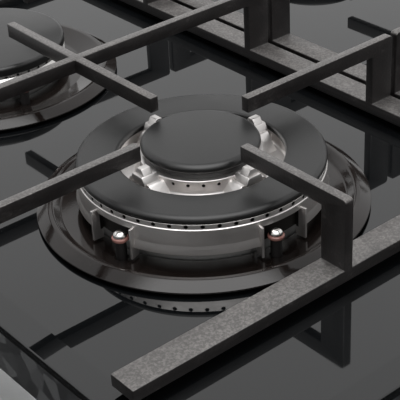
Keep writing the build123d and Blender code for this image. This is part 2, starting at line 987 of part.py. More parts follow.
# ---- Grates -------------------------------------------------------------------------------
@dataclass
class Grate:
    """Lines of one casting. side is -1 for the left grate and 1 for its mirror image."""

    side: int

    @property
    def middle(self):
        return self.side * (burner_x + grate_shift_x)

    @property
    def inner_bar(self):
        return self.middle - self.side * inner_bar_reach

    @property
    def outer_rail(self):
        return self.middle + self.side * outer_rail_reach

    @property
    def crosses(self):
        return [front_burner_y + grate_shift_y, rear_burner_y + grate_shift_y]

    @property
    def end_bars(self):
        return [self.crosses[0] - end_bar_reach, self.crosses[1] + end_bar_reach]

    @property
    def arm_y(self):
        return sum(self.crosses) / 2

    @property
    def outer(self):
        return self.outer_rail + self.side * finger_thickness / 2

    @property
    def inner(self):
        return self.inner_bar - self.side * frame_width / 2

    def frame_bars(self):
        """Boxes of the low frame and its posts: two corners in plan, then bottom and top."""
        thin = finger_thickness / 2
        wide = frame_width / 2
        front, rear = self.end_bars
        inner_outside = self.inner + self.side * frame_width
        low = (foot_height, frame_top)
        post = (foot_height, finger_bottom)
        boxes = [(inner_outside, front - wide, self.inner, rear + wide, *low)]
        for bar_y in self.end_bars:
            boxes += [
                (self.outer, bar_y - wide, self.inner, bar_y + wide, *low),
                (self.middle - thin, bar_y - wide, self.middle + thin, bar_y + wide, *post),
            ]
        for post_y in (*self.crosses, self.arm_y):
            boxes.append((inner_outside, post_y - thin, self.inner, post_y + thin, *post))
        return boxes

    def top_bars(self):
        """Boxes of the fingers, the arm, and the outer rail with its leg, butted end to face."""
        thin = finger_thickness / 2
        wide = frame_width / 2
        front, rear = self.end_bars
        leg_inside = self.outer - self.side * leg_width
        high = (finger_bottom, grate_height)
        leg = (foot_height, grate_height)
        rail_inside = self.outer_rail - self.side * thin
        middle_outside = self.middle + self.side * thin
        middle_inside = self.middle - self.side * thin
        boxes = [
            (self.outer, self.crosses[0] - thin, rail_inside, self.arm_y - wide, *high),
            (self.outer, self.arm_y + wide, rail_inside, self.crosses[1] + thin, *high),
            (self.outer, self.arm_y - wide, leg_inside, self.arm_y + wide, *leg),
            (leg_inside, self.arm_y - thin, middle_outside, self.arm_y + thin, *high),
            (middle_inside, self.arm_y - thin, self.inner, self.arm_y + thin, *high),
        ]
        left_reach, right_reach = (tip_long, tip_short)[:: -self.side]
        left_end, right_end = sorted((rail_inside, self.inner))
        for cross_y in self.crosses:
            boxes += [
                (left_end, cross_y - thin, self.middle - left_reach, cross_y + thin, *high),
                (self.middle + right_reach, cross_y - thin, right_end, cross_y + thin, *high),
            ]
        depth_runs = [
            (front - wide, self.crosses[0] - tip_long),
            (self.crosses[0] + tip_short, self.crosses[1] - tip_long),
            (self.crosses[1] + tip_short, rear + wide),
        ]
        for start, end in depth_runs:
            boxes.append((self.middle - thin, start, self.middle + thin, end, *high))
        return boxes

    def frame_feet(self):
        """Places of the rubber feet under the low frame."""
        outer_foot = self.outer - self.side * frame_width / 2
        corners = [(x, y) for x in (outer_foot, self.inner_bar) for y in self.end_bars]
        return corners + [(self.inner_bar, self.arm_y)]

    def leg_foot(self):
        return self.outer - self.side * leg_width / 2, self.arm_y

    def feet(self):
        return [*self.frame_feet(), self.leg_foot()]


def casting(boxes, feet):
    """Part of a grate from its boxes, with sockets for the feet and bevelled top edges."""
    with BuildPart() as body:
        for x0, y0, x1, y1, bottom, top in boxes:
            with BuildSketch(over_glass(bottom)):
                with Locations(((x0 + x1) / 2, (y0 + y1) / 2)):
                    Rectangle(abs(x1 - x0), abs(y1 - y0))
            extrude(amount=top - bottom)
        for x, y in feet:
            with Locations((x, y, glass_top + foot_height)):
                Cylinder(stud_radius + stud_clearance, stud_length, align=standing, mode=Mode.SUBTRACT)
    return body.part


def finger_bar(box, feet):
    """One raised bar with bevelled top edges along its length."""
    with BuildPart() as body:
        add(casting([box], feet))
        top_edges = body.faces().filter_by(Axis.Z).group_by(Axis.Z)[-1].edges()
        chamfer(top_edges.sort_by(SortBy.LENGTH)[-2:], casting_bevel)
    return body.part


def fingers(grate):
    """Every raised bar of a casting, as a solid each."""
    bars = grate.top_bars()
    leg = min(bars, key=lambda box: box[4])
    return Compound([finger_bar(box, [grate.leg_foot()] if box is leg else []) for box in bars])


def rubber_feet(grate):
    outline = [
        (0, 0),
        (foot_radius - foot_bevel, 0),
        (foot_radius, foot_bevel),
        (foot_radius, foot_height),
        (stud_radius, foot_height),
        (stud_radius, foot_height + stud_length),
        (0, foot_height + stud_length),
    ]
    feet = [turned(x, y, outline) for x, y in grate.feet()]
    with BuildPart() as body:
        add(feet)
    return body.part


for name, side in (("left", -1), ("right", 1)):
    grate = Grate(side)
    save(casting(grate.frame_bars(), grate.frame_feet()), f"grate_frame_{name}")
    save(fingers(grate), f"grate_fingers_{name}")
    save(rubber_feet(grate), f"grate_feet_{name}")


# ---- Controls -----------------------------------------------------------------------------
def knob(x):
    """Round skirt with a straight grip, whose pointer faces the back when the tap is off."""
    with BuildPart() as body:
        with BuildSketch(level(knob_bottom)):
            with Locations((x, knob_y)):
                Circle(knob_radius)
        extrude(amount=knob_skirt)
        fillet(body.faces().sort_by(Axis.Z)[-1].edges(), skirt_round)
        with BuildSketch(level(knob_bottom + knob_skirt - skirt_round)):
            with Locations((x, knob_y)):
                SlotOverall(2 * (knob_radius - skirt_round - grip_inset), grip_width, rotation=90)
        extrude(amount=knob_height - knob_skirt + skirt_round)
        fillet(body.faces().sort_by(Axis.Z)[-1].edges(), grip_round)
        pointer_y = knob_y + knob_radius - skirt_round - grip_inset - grip_round - pointer_length / 2
        with BuildSketch(level(knob_top - pointer_depth)):
            with Locations((x, pointer_y - 1)):
                Rectangle(pointer_width, pointer_length)
        extrude(amount=pointer_depth, mode=Mode.SUBTRACT)
        with BuildSketch(level(knob_bottom)):
            with Locations((x, knob_y)):
                Circle(knob_radius - knob_shell)
        extrude(amount=hub_rise, mode=Mode.SUBTRACT)
        with BuildSketch(level(knob_bottom + hub_rise)):
            with Locations((x, knob_y)):
                Circle(knob_radius - knob_shell)
                Circle(hub_radius, mode=Mode.SUBTRACT)
        extrude(amount=knob_skirt - knob_shell - hub_rise, mode=Mode.SUBTRACT)
        with Locations((x, knob_y, knob_bottom)):
            Cylinder(stem_radius, stem_top - knob_bottom, align=standing, mode=Mode.SUBTRACT)
    return body.part


def valve_stem(x):
    with BuildPart() as body:
        with Locations((x, knob_y, stem_bottom)):
            Cylinder(stem_radius, stem_top - stem_bottom, align=standing)
    return body.part


def valve_plug(x):
    """Turning plug of a tap, with the socket that its stem slides in."""
    socket_bottom = stem_bottom - knob_travel - post_gap
    with BuildPart() as body:
        with Locations((x, knob_y, plug_bottom)):
            Cylinder(plug_radius, plug_length, align=standing)
        with Locations((x, knob_y, socket_bottom)):
            Cylinder(
                stem_radius + stem_clearance,
                plug_top - socket_bottom,
                align=standing,
                mode=Mode.SUBTRACT,
            )
    return body.part


for number, x in enumerate(knob_places, start=1):
    save(knob(x), f"knob_{number}")
    save(valve_stem(x), f"valve_stem_{number}")
    save(valve_plug(x), f"valve_plug_{number}")

with BuildPart() as gas_taps:
    for x in knob_places:
        with BuildSketch(level(rail_top)):
            with Locations((x, knob_y)):
                Rectangle(tap_width, tap_width)
        extrude(amount=tap_height)
        with BuildSketch(level(rail_top)):
            with Locations((x, knob_y)):
                Rectangle(tap_width + 2 * tap_ear, rail_size)
        extrude(amount=tap_ear_height)
        spout_length = tap_width / 2 + spout_reach
        with Locations(across_wall(x, knob_y, gas_height)):
            Cylinder(spout_radius, spout_length, align=standing)
            Cylinder(gas_bore, spout_length, align=standing, mode=Mode.SUBTRACT)
        with Locations((x, knob_y, plug_bottom)):
            Cylinder(
                plug_radius + plug_clearance,
                plug_length + plug_end_gap,
                align=standing,
                mode=Mode.SUBTRACT,
            )
        with Locations((x, knob_y, plug_top)):
            Cylinder(
                stem_radius + stem_clearance, tap_top - plug_top, align=standing, mode=Mode.SUBTRACT
            )
        ear_screws = [(x + side * (tap_width + tap_ear) / 2, knob_y, rail_top) for side in (-1, 1)]
        with Locations(*ear_screws):
            Cylinder(
                screw_radius + screw_clearance, tap_ear_height, align=standing, mode=Mode.SUBTRACT
            )
save(gas_taps.part, "gas_taps")

with BuildPart() as magnet_units:
    for x in knob_places:
        face = x + tap_width / 2
        with Locations(Plane(origin=(face, knob_y, magnet_height), z_dir=(1, 0, 0))):
            Cylinder(magnet_radius, magnet_length, align=standing)
            Cylinder(magnet_tail_radius, magnet_length + magnet_tail, align=standing)
save(magnet_units.part, "magnet_units")

bezel_inside = knob_radius + bezel_gap
bezel_outline = [
    (bezel_inside, 0),
    (bezel_radius, 0),
    (bezel_radius, bezel_height / 2),
    (bezel_radius - bezel_height / 2, bezel_height),
    (bezel_inside, bezel_height),
]
seal_outline = [
    (stem_radius + stem_seal_gap, -glass_thickness),
    (stem_hole - stem_seal_fit, -glass_thickness),
    (stem_hole - stem_seal_fit, 0),
    (stem_seal_flange, 0),
    (stem_seal_flange, stem_seal_height),
    (stem_radius + stem_seal_gap, stem_seal_height),
]
bezels = [turned(x, knob_y, bezel_outline) for x in knob_places]
seals = [turned(x, knob_y, seal_outline) for x in knob_places]

with BuildPart() as knob_bezels:
    add(bezels)
save(knob_bezels.part, "knob_bezels")

with BuildPart() as stem_seals:
    add(seals)
save(stem_seals.part, "stem_seals")

# ---- Gas side -----------------------------------------------------------------------------
with BuildPart() as gas_rail:
    with BuildSketch(Plane.YZ.offset(rail_left)):
        with Locations((knob_y, rail_middle)):
            Rectangle(rail_size, rail_size)
    extrude(amount=rail_right - rail_left)
    with BuildSketch(Plane.YZ.offset(rail_left + rail_wall)):
        with Locations((knob_y, rail_middle)):
            Rectangle(rail_size - 2 * rail_wall, rail_size - 2 * rail_wall)
    extrude(amount=rail_right - rail_left - 2 * rail_wall, mode=Mode.SUBTRACT)
    with Locations(Plane(origin=(rail_right - rail_wall, knob_y, rail_middle), z_dir=(1, 0, 0))):
        Cylinder(pipe_radius - pipe_wall, rail_wall, align=standing, mode=Mode.SUBTRACT)
    # threaded holes for the tap screws
    for x in knob_places:
        ear_screws = [(x + side * (tap_width + tap_ear) / 2, knob_y, rail_top) for side in (-1, 1)]
        with Locations(*ear_screws):
            Cylinder(screw_radius, rail_wall, align=hanging, mode=Mode.SUBTRACT)
    # brackets welded under both ends
    for x in (rail_left + rail_bracket_inset, rail_right - rail_bracket_inset):
        with BuildSketch(level(sheet)):
            with Locations((x, knob_y)):
                Rectangle(rail_bracket_width, rail_size)
        extrude(amount=rail_bottom - sheet)
        with BuildSketch(level(sheet)):
            with Locations((x, knob_y)):
                Rectangle(rail_bracket_width, rail_size - 2 * rail_wall)
        extrude(amount=rail_bottom - 2 * sheet, mode=Mode.SUBTRACT)
save(gas_rail.part, "gas_rail")

pipe_end_y = wall_outside - pipe_end_gap
inlet_pipe = rod(
    [
        (rail_right, knob_y, rail_middle),
        (pipe_x, knob_y, rail_middle),
        (pipe_x, pipe_end_y, rail_middle),
    ],
    pipe_radius,
    pipe_bend,
)
save(inlet_pipe, "inlet_pipe")

with BuildPart() as inlet_fitting:
    with Locations(across_wall(pipe_x, pipe_end_y, rail_middle)):
        Cylinder(inlet_neck_radius, wall_inside - pipe_end_y, align=standing)
    with BuildSketch(across_wall(pipe_x, wall_inside - inlet_hex_length, rail_middle)):
        RegularPolygon(inlet_hex / 2, 6, major_radius=False)
    extrude(amount=inlet_hex_length)
    with Locations(across_wall(pipe_x, wall_inside, rail_middle)):
        Cylinder(bulkhead_radius, sheet + nut_thickness, align=standing)
        Cylinder(inlet_relief_radius, inlet_thread_start - wall_inside, align=standing)
    with Locations(across_wall(pipe_x, inlet_thread_start, rail_middle)):
        Cylinder(inlet_thread_radius, inlet_thread_length, align=standing)
    with Locations(across_wall(pipe_x, pipe_end_y, rail_middle)):
        Cylinder(
            pipe_radius - pipe_wall,
            inlet_thread_start + inlet_thread_length - pipe_end_y,
            align=standing,
            mode=Mode.SUBTRACT,
        )
save(inlet_fitting.part, "inlet_fitting")

with BuildPart() as inlet_nut:
    with BuildSketch(across_wall(pipe_x, wall_outside, rail_middle)):
        RegularPolygon(nut_flats / 2, 6, major_radius=False)
        Circle(bulkhead_radius, mode=Mode.SUBTRACT)
    extrude(amount=nut_thickness)
save(inlet_nut.part, "inlet_nut")

tap_outlet_y = knob_y + tap_width / 2 + spout_reach


def gas_route(x, burner):
    """Corners of the tube from a tap to its burner, in line with the cup's spout at its end."""
    spout_end = burner.cup_radius + spout_reach
    start = (x, tap_outlet_y, gas_height)
    if burner.inlet_angle == -90:
        return [
            start,
            (x, tube_turn_y, gas_height),
            (burner.x, tube_turn_y, gas_height),
            (burner.x, burner.y - spout_end, gas_height),
        ]
    side = 1 if burner.inlet_angle == 0 else -1
    return [start, (x, burner.y, gas_height), (burner.x + side * spout_end, burner.y, gas_height)]


def sensor_route(x, burner):
    """Corners of the lead from a tap's magnet unit to the burner's thermocouple."""
    end_x, end_y = burner.posts()[1]
    start_x = x + tap_width / 2 + magnet_length + magnet_tail
    lane = start_x + sensor_lead_step
    cross_y = end_y - sensor_lead_offset
    return [
        (start_x, knob_y, magnet_height),
        (lane, knob_y, magnet_height),
        (lane, knob_y + sensor_lead_drop, sensor_lead_height),
        (lane, cross_y, sensor_lead_height),
        (end_x, cross_y, sensor_lead_height),
        (end_x, end_y, sensor_lead_height),
        (end_x, end_y, glass_top - post_length),
    ]


def spark_route(burner):
    """Corners of the lead from an electrode's lower end to the ignition module."""
    end_x, end_y = burner.posts()[0]
    side = -1 if burner.x < 0 else 1
    row = -1 if burner.y < module_y else 1
    lane = burner.x - burner.post_circle - spark_lead_offset
    row_y = module_y + row * (module_depth / 2 - module_terminal_inset)
    return [
        (end_x, end_y, glass_top - pin_length),
        (end_x, end_y, spark_lead_height),
        (lane, end_y, spark_lead_height),
        (lane, row_y, spark_lead_height),
        (side * module_width / 2, row_y, spark_lead_height),
    ]


tubes = [rod(gas_route(x, burner), tube_radius, tube_bend) for x, burner in zip(knob_places, burners)]
sensor_leads = [
    rod(sensor_route(x, burner), lead_radius, lead_bend) for x, burner in zip(knob_places, burners)
]
spark_leads = [rod(spark_route(burner), lead_radius, lead_bend) for burner in burners]

with BuildPart() as gas_tubes:
    add(tubes)
save(gas_tubes.part, "gas_tubes")

with BuildPart() as thermocouple_leads:
    add(sensor_leads)
save(thermocouple_leads.part, "thermocouple_leads")

# ---- Ignition and supply ------------------------------------------------------------------
module_rear = module_y + module_depth / 2
terminal_front = terminal_y - terminal_depth / 2

with BuildPart() as ignition_leads:
    add(spark_leads)
    with Locations(across_wall(0, module_rear, spark_lead_height)):
        Cylinder(supply_lead_radius, terminal_front - module_rear, align=standing)
save(ignition_leads.part, "ignition_leads")

with BuildPart() as ignition_module:
    with BuildSketch(level(sheet)):
        with Locations((0, module_y)):
            Rectangle(module_width, module_depth)
    extrude(amount=module_height)
    fillet(ignition_module.faces().sort_by(Axis.Z)[-1].edges(), module_round)
    with BuildSketch(level(sheet)):
        with Locations((0, module_y)):
            SlotOverall(module_width + 2 * module_ear, 2 * module_ear)
    extrude(amount=module_ear_height)
save(ignition_module.part, "ignition_module")

with BuildPart() as terminal_block:
    with BuildSketch(level(sheet)):
        with Locations((0, terminal_y)):
            Rectangle(terminal_width, terminal_depth)
    extrude(amount=terminal_height)
    with Locations((0, terminal_y, sheet + terminal_height)):
        with GridLocations(terminal_width / 3, 0, 3, 1):
            Cylinder(screw_radius, screw_grip, align=hanging, mode=Mode.SUBTRACT)
save(terminal_block.part, "terminal_block")

with BuildPart() as cable_gland:
    with Locations(across_wall(0, wall_inside - gland_hex_length, gland_height)):
        Cylinder(gland_radius, gland_hex_length + sheet + gland_outer_length, align=standing)
    for hex_y in (wall_inside - gland_hex_length, wall_outside):
        with BuildSketch(across_wall(0, hex_y, gland_height)):
            RegularPolygon(gland_hex / 2, 6, major_radius=False)
        extrude(amount=gland_hex_length)
    with Locations(across_wall(0, wall_inside - gland_hex_length, gland_height)):
        Cylinder(gland_bore, 4 * gland_outer_length, align=standing, mode=Mode.SUBTRACT)
save(cable_gland.part, "cable_gland")
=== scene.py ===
"""Built-in gas cooktop with a black glass top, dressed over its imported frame.

Forms are drawn in millimetres and made in metres. Heights of burners, grates and knobs count
from the glass's upper face.
"""

import math
from typing import NamedTuple

import bmesh
import bpy
from mathutils import Matrix, Vector


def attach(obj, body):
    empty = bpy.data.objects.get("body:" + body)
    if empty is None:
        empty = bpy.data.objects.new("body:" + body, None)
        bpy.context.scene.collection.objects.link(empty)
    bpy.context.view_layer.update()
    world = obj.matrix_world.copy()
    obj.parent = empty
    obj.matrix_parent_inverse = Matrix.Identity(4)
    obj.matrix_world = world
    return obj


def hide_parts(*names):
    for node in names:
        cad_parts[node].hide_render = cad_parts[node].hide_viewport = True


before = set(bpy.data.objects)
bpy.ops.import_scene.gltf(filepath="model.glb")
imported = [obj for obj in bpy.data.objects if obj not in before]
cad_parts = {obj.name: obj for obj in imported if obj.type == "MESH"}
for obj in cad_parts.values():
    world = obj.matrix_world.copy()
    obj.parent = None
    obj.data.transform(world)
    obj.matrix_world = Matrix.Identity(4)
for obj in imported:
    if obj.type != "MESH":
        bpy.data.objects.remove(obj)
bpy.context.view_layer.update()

MM = 0.001
GLASS_TOP = 56.0
FINE_TURN = 256
TURN = 192
SMALL_TURN = 48
SHARP_EDGE = math.radians(28)
SMOOTH = 35
KNOB_PLACES = (-78.0, -26.0, 26.0, 78.0)
KNOB_Y = -222.0


# ---- Forms --------------------------------------------------------------------------------
def rounded(outline, rounds, fine=5):
    """Closed outline whose corners are replaced by arcs of the given radii."""
    points = []
    count = len(outline)
    for i, radius in enumerate(rounds):
        corner = Vector(outline[i])
        if not radius:
            points.append(tuple(corner))
            continue
        back = (Vector(outline[i - 1]) - corner).normalized()
        ahead = (Vector(outline[(i + 1) % count]) - corner).normalized()
        half = back.angle(ahead) / 2
        middle = corner + (back + ahead).normalized() * (radius / math.sin(half))
        start = corner + back * (radius / math.tan(half)) - middle
        sweep = math.pi - 2 * half
        turn = 1 if back.x * ahead.y - back.y * ahead.x < 0 else -1
        for step in range(fine + 1):
            angle = turn * sweep * step / fine
            cosine, sine = math.cos(angle), math.sin(angle)
            points.append(
                (
                    middle.x + start.x * cosine - start.y * sine,
                    middle.y + start.x * sine + start.y * cosine,
                )
            )
    return points


def circle(radius, corners, centre=(0.0, 0.0)):
    """Regular polygon in place of a circle."""
    x, y = centre
    turns = [math.tau * i / corners for i in range(corners)]
    return [(x + radius * math.cos(turn), y + radius * math.sin(turn)) for turn in turns]


def evenly(count):
    """Angles that share out a full turn."""
    return [360 * i / count for i in range(count)]


def facing(angle, reach=0.0, height=0.0):
    """Placement that looks away from an upright axis, its X along the circle and its Y up."""
    turn = math.radians(angle)
    outward = Vector((math.cos(turn), math.sin(turn), 0))
    along = Vector((-math.sin(turn), math.cos(turn), 0))
    place = Matrix.Translation(outward * reach + Vector((0, 0, height)))
    axes = Matrix((along, (0, 0, 1), outward)).transposed().to_4x4()
    return place @ axes


class Form:
    """Closed mesh drawn in millimetres round its own centre."""

    def __init__(self):
        self.mesh = bmesh.new()

    def lathe(self, outline, steps=TURN, centre=(0, 0)):
        """Solid of revolution of a closed outline of radii and heights."""
        rings = []
        for radius, height in outline:
            turns = steps if radius > 1e-6 else 1
            ring = []
            for i in range(turns):
                angle = 2 * math.pi * i / turns
                spot = (
                    centre[0] + radius * math.cos(angle),
                    centre[1] + radius * math.sin(angle),
                    height,
                )
                ring.append(self.mesh.verts.new(spot))
            rings.append(ring)
        for lower, upper in zip(rings, rings[1:] + rings[:1]):
            if len(lower) == len(upper) == 1:
                continue
            for i in range(steps):
                j = (i + 1) % steps
                corners = []
                for ring, at in ((lower, i), (lower, j), (upper, j), (upper, i)):
                    corner = ring[at % len(ring)]
                    if corner not in corners:
                        corners.append(corner)
                self.mesh.faces.new(corners)
        return self

    def prism(self, outline, place, length):
        """Outline in a placement's XY, drawn out along its Z."""
        near = [self.mesh.verts.new(place @ Vector((x, y, 0))) for x, y in outline]
        far = [self.mesh.verts.new(place @ Vector((x, y, length))) for x, y in outline]
        self.mesh.faces.new(near)
        self.mesh.faces.new(far)
        for i, corner in enumerate(near):
            j = (i + 1) % len(near)
            self.mesh.faces.new((corner, near[j], far[j], far[i]))
        return self

    def block(self, low, high):
        """Box between two opposite corners."""
        outline = [(low[0], low[1]), (high[0], low[1]), (high[0], high[1]), (low[0], high[1])]
        return self.prism(outline, Matrix.Translation((0, 0, low[2])), high[2] - low[2])

    def blocks(self, boxes):
        """One closed skin round axis-aligned boxes that overlap or touch."""
        lines = []
        for axis in range(3):
            lines.append(sorted({round(corner[axis], 4) for box in boxes for corner in box}))
        cells = set()
        for low, high in boxes:
            spans = []
            for axis in range(3):
                start = lines[axis].index(round(low[axis], 4))
                end = lines[axis].index(round(high[axis], 4))
                spans.append(range(start, end))
            cells.update((i, j, k) for i in spans[0] for j in spans[1] for k in spans[2])
        corners = {}

        def corner(key):
            if key not in corners:
                spot = [lines[axis][key[axis]] for axis in range(3)]
                corners[key] = self.mesh.verts.new(spot)
            return corners[key]

        for cell in cells:
            for axis in range(3):
                for side in (0, 1):
                    beyond = list(cell)
                    beyond[axis] += 2 * side - 1
                    if tuple(beyond) in cells:
                        continue
                    base = list(cell)
                    base[axis] += side
                    across, up = [a for a in range(3) if a != axis]
                    loop = []
                    for step_across, step_up in ((0, 0), (1, 0), (1, 1), (0, 1)):
                        key = list(base)
                        key[across] += step_across
                        key[up] += step_up
                        loop.append(corner(tuple(key)))
                    self.mesh.faces.new(loop)
        self.tidy()
        bmesh.ops.dissolve_limit(
            self.mesh, angle_limit=0.01, verts=self.mesh.verts[:], edges=self.mesh.edges[:]
        )
        return self

    def tidy(self):
        """Turns all faces outwards."""
        bmesh.ops.recalc_face_normals(self.mesh, faces=self.mesh.faces[:])

    def soften(self, width, fine=2, wanted=None, finish_slot=-1):
        """Rounds the sharp edges, or only those that wanted() picks."""
        self.tidy()
        edges = [
            edge
            for edge in self.mesh.edges
            if edge.is_manifold
            and edge.calc_face_angle() > SHARP_EDGE
            and (wanted is None or wanted(edge))
        ]
        bmesh.ops.bevel(
            self.mesh,
            geom=edges,
            offset=width,
            offset_type="OFFSET",
            segments=fine,
            profile=0.5,
            affect="EDGES",
            clamp_overlap=True,
            material=finish_slot,
        )
        return self

    def piece(self, name, centre=(0.0, 0.0), smooth=SMOOTH):
        """Object in the scene, its origin over the centre on the glass's upper face."""
        self.tidy()
        bmesh.ops.scale(self.mesh, vec=(MM, MM, MM), verts=self.mesh.verts[:])
        mesh = bpy.data.meshes.new(name)
        self.mesh.to_mesh(mesh)
        self.mesh.free()
        piece = bpy.data.objects.new(name, mesh)
        piece.location = (centre[0] * MM, centre[1] * MM, GLASS_TOP * MM)
        bpy.context.scene.collection.objects.link(piece)
        shade(piece, smooth)
        return piece


def shade(piece, smooth):
    """Smooth shading, broken where two faces meet at more than the angle."""
    piece.data.shade_smooth()
    piece.data.set_sharp_from_angle(angle=math.radians(smooth))


def settle(piece):
    """Turns what the modifiers make into the piece's own mesh."""
    bpy.context.view_layer.update()
    drawn = piece.evaluated_get(bpy.context.evaluated_depsgraph_get())
    made = bpy.data.meshes.new_from_object(drawn)
    piece.modifiers.clear()
    piece.data = made


def join_or_cut(piece, tool, operation):
    """Joins another form to the piece or cuts it out; both are round the same centre."""
    tool.location = piece.location
    modifier = piece.modifiers.new("shape", "BOOLEAN")
    modifier.operation = operation
    modifier.solver = "MANIFOLD"
    modifier.object = tool
    settle(piece)
    bpy.data.objects.remove(tool)
    shade(piece, SMOOTH)


def add(piece, *forms):
    """Joins forms to a piece."""
    for form in forms:
        join_or_cut(piece, form.piece("joined"), "UNION")


def cut(piece, *forms):
    """Cuts forms out of a piece."""
    for form in forms:
        join_or_cut(piece, form.piece("cut"), "DIFFERENCE")


def dress(piece, body, slot, finish, *nodes):
    """Puts a finished piece on its body in place of CAD nodes."""
    piece.data.materials.clear()
    for paint in finish if isinstance(finish, list) else [finish]:
        piece.data.materials.append(paint)
    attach(piece, body)
    if nodes:
        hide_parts(*nodes)


# ---- Finishes -----------------------------------------------------------------------------
class Wire:
    """A shader node's output. Python's operators on it add Math nodes."""

    def __init__(self, finish, socket):
        self.finish = finish
        self.socket = socket

    def reckon(self, operation, *values):
        """Math node of the operation."""
        return self.finish.node("ShaderNodeMath", {"operation": operation}, *values)

    def __add__(self, other):
        return self.reckon("ADD", self, other)

    def __sub__(self, other):
        return self.reckon("SUBTRACT", self, other)

    def __rsub__(self, other):
        return self.reckon("SUBTRACT", other, self)

    def __mul__(self, other):
        return self.reckon("MULTIPLY", self, other)

    def __truediv__(self, other):
        return self.reckon("DIVIDE", self, other)

    def __abs__(self):
        return self.reckon("ABSOLUTE", self)

    __radd__ = __add__
    __rmul__ = __mul__

    def most(self, other):
        """The larger of two."""
        return self.reckon("MAXIMUM", self, other)

    def root(self):
        """Square root."""
        return self.reckon("SQRT", self)

    def below(self, limit, soft):
        """1 under the limit and 0 over it, with a soft step between."""
        return self.finish.ramped(self, limit + soft, limit - soft)

    def above(self, limit, soft):
        """0 under the limit and 1 over it, with a soft step between."""
        return self.finish.ramped(self, limit - soft, limit + soft)


class Wiring:
    """A node tree that is written as sums and calls."""

    def __init__(self, tree):
        self.tree = tree
        self.tree.nodes.clear()

    def plug(self, socket, value):
        """Links a wire to a socket, or sets the socket's value."""
        if isinstance(value, Wire):
            self.tree.links.new(value.socket, socket)
        else:
            socket.default_value = value

    def node(self, kind, settings=None, *values, out=0, **named):
        """Adds a node. Its settings come first, then the values or wires of its sockets."""
        made = self.tree.nodes.new(kind)
        for name, value in (settings or {}).items():
            setattr(made, name, value)
        for place, value in enumerate(values):
            self.plug(made.inputs[place], value)
        for name, value in named.items():
            self.plug(made.inputs[name.replace("_", " ")], value)
        return None if out is None else Wire(self, made.outputs[out])

    def place(self):
        """Where a point lies in the piece's own metres."""
        return self.node("ShaderNodeTexCoord", out="Object")

    def axes(self, vector):
        """The three parts of a vector."""
        made = self.tree.nodes.new("ShaderNodeSeparateXYZ")
        self.plug(made.inputs[0], vector)
        return [Wire(self, made.outputs[axis]) for axis in range(3)]

    def vector(self, x, y, z):
        """Vector of three parts."""
        return self.node("ShaderNodeCombineXYZ", None, x, y, z)

    def noise(self, scale, detail=3.0, rough=0.55, where=None, distort=0.0):
        """Noise of that many patches to the metre."""
        return self.node(
            "ShaderNodeTexNoise",
            {"noise_dimensions": "3D"},
            Vector=where or self.place(),
            Scale=scale,
            Detail=detail,
            Roughness=rough,
            Distortion=distort,
        )

    def ramped(self, value, start, end, low=0.0, high=1.0):
        """Maps start..end smoothly to low..high and holds it outside."""
        turned = start > end
        first, last = (end, start) if turned else (start, end)
        at_first, at_last = (high, low) if turned else (low, high)
        return self.node(
            "ShaderNodeMapRange",
            {"interpolation_type": "SMOOTHSTEP"},
            value,
            first,
            last,
            at_first,
            at_last,
        )

    def blend(self, mask, first, second):
        """Colour that goes from the first to the second as the mask goes from 0 to 1."""
        made = self.tree.nodes.new("ShaderNodeMix")
        made.data_type = "RGBA"
        for place, value in ((0, mask), (6, first), (7, second)):
            value = value if isinstance(value, Wire) or place == 0 else (*value, 1.0)
            self.plug(made.inputs[place], value)
        return Wire(self, made.outputs[2])


class Finish(Wiring):
    """One procedural material, built round a Principled shader."""

    def __init__(self, name, colour, rough, metal=0.0, ior=1.5):
        self.material = bpy.data.materials.new(name)
        self.material.use_nodes = True
        super().__init__(self.material.node_tree)
        self.shader = self.tree.nodes.new("ShaderNodeBsdfPrincipled")
        output = self.tree.nodes.new("ShaderNodeOutputMaterial")
        self.tree.links.new(self.shader.outputs["BSDF"], output.inputs["Surface"])
        self.set("Base Color", (*colour, 1.0))
        self.set("Roughness", rough)
        self.set("Metallic", metal)
        self.set("IOR", ior)
        self.material.diffuse_color = (*colour, 1.0)

    def set(self, name, value):
        """Gives one of the shader's sockets a value or a wire."""
        self.plug(self.shader.inputs[name], value)

    def bump(self, height, depth, strength):
        """Relief of the height, depth metres deep."""
        self.set(
            "Normal",
            self.node("ShaderNodeBump", None, Strength=strength, Distance=depth, Height=height),
        )


def turned_marks(finish):
    """Noise drawn out round the piece's own upright axis, as a lathe leaves it."""
    fine, along = 1400.0, 1.2
    x, y, z = finish.axes(finish.place())
    radius = (x * x + y * y).root()
    safe = radius.most(0.0005)
    where = finish.vector(radius * fine + x / safe * along, z * fine + y / safe * along, 0.0)
    return finish.noise(1.0, detail=2.0, where=where)


def black_glass():
    """Black mirror glass with printed marks behind the knobs.

    Each mark is a ring part that stands for the flame, and a dot for off.
    """
    black, print_grey = (0.004, 0.0045, 0.005), (0.42, 0.43, 0.44)
    mark_radius, mark_width, dot_radius = 25.5 * MM, 0.35 * MM, 1.1 * MM
    mark_right, mark_front = -6.0 * MM, -16.0 * MM
    soft, edge = 0.1 * MM, 0.2 * MM
    finish = Finish("black_glass", black, 0.03, ior=1.62)
    x, y, z = finish.axes(finish.place())
    smears = finish.noise(14.0, detail=4.0, rough=0.6, distort=0.6)
    finish.set("Roughness", finish.ramped(smears, 0.35, 0.75, 0.018, 0.055))
    print_mask = 0.0 * z
    for place in KNOB_PLACES:
        across = x - place * MM
        along = y - KNOB_Y * MM
        reach = (across * across + along * along).root()
        band = abs(reach - mark_radius).below(mark_width, soft)
        left = across.below(mark_right, edge)
        low = along.above(mark_front, edge)
        behind = along - mark_radius
        dot = (across * across + behind * behind).root().below(dot_radius, soft)
        print_mask = print_mask.most((band * left * low).most(dot))
    upper_face = z.above((GLASS_TOP - 0.5) * MM, edge)
    finish.set("Base Color", finish.blend(print_mask * upper_face, black, print_grey))
    waves = finish.noise(9.0, detail=1.0)
    finish.bump(waves, 0.00002, 0.3)
    return finish.material


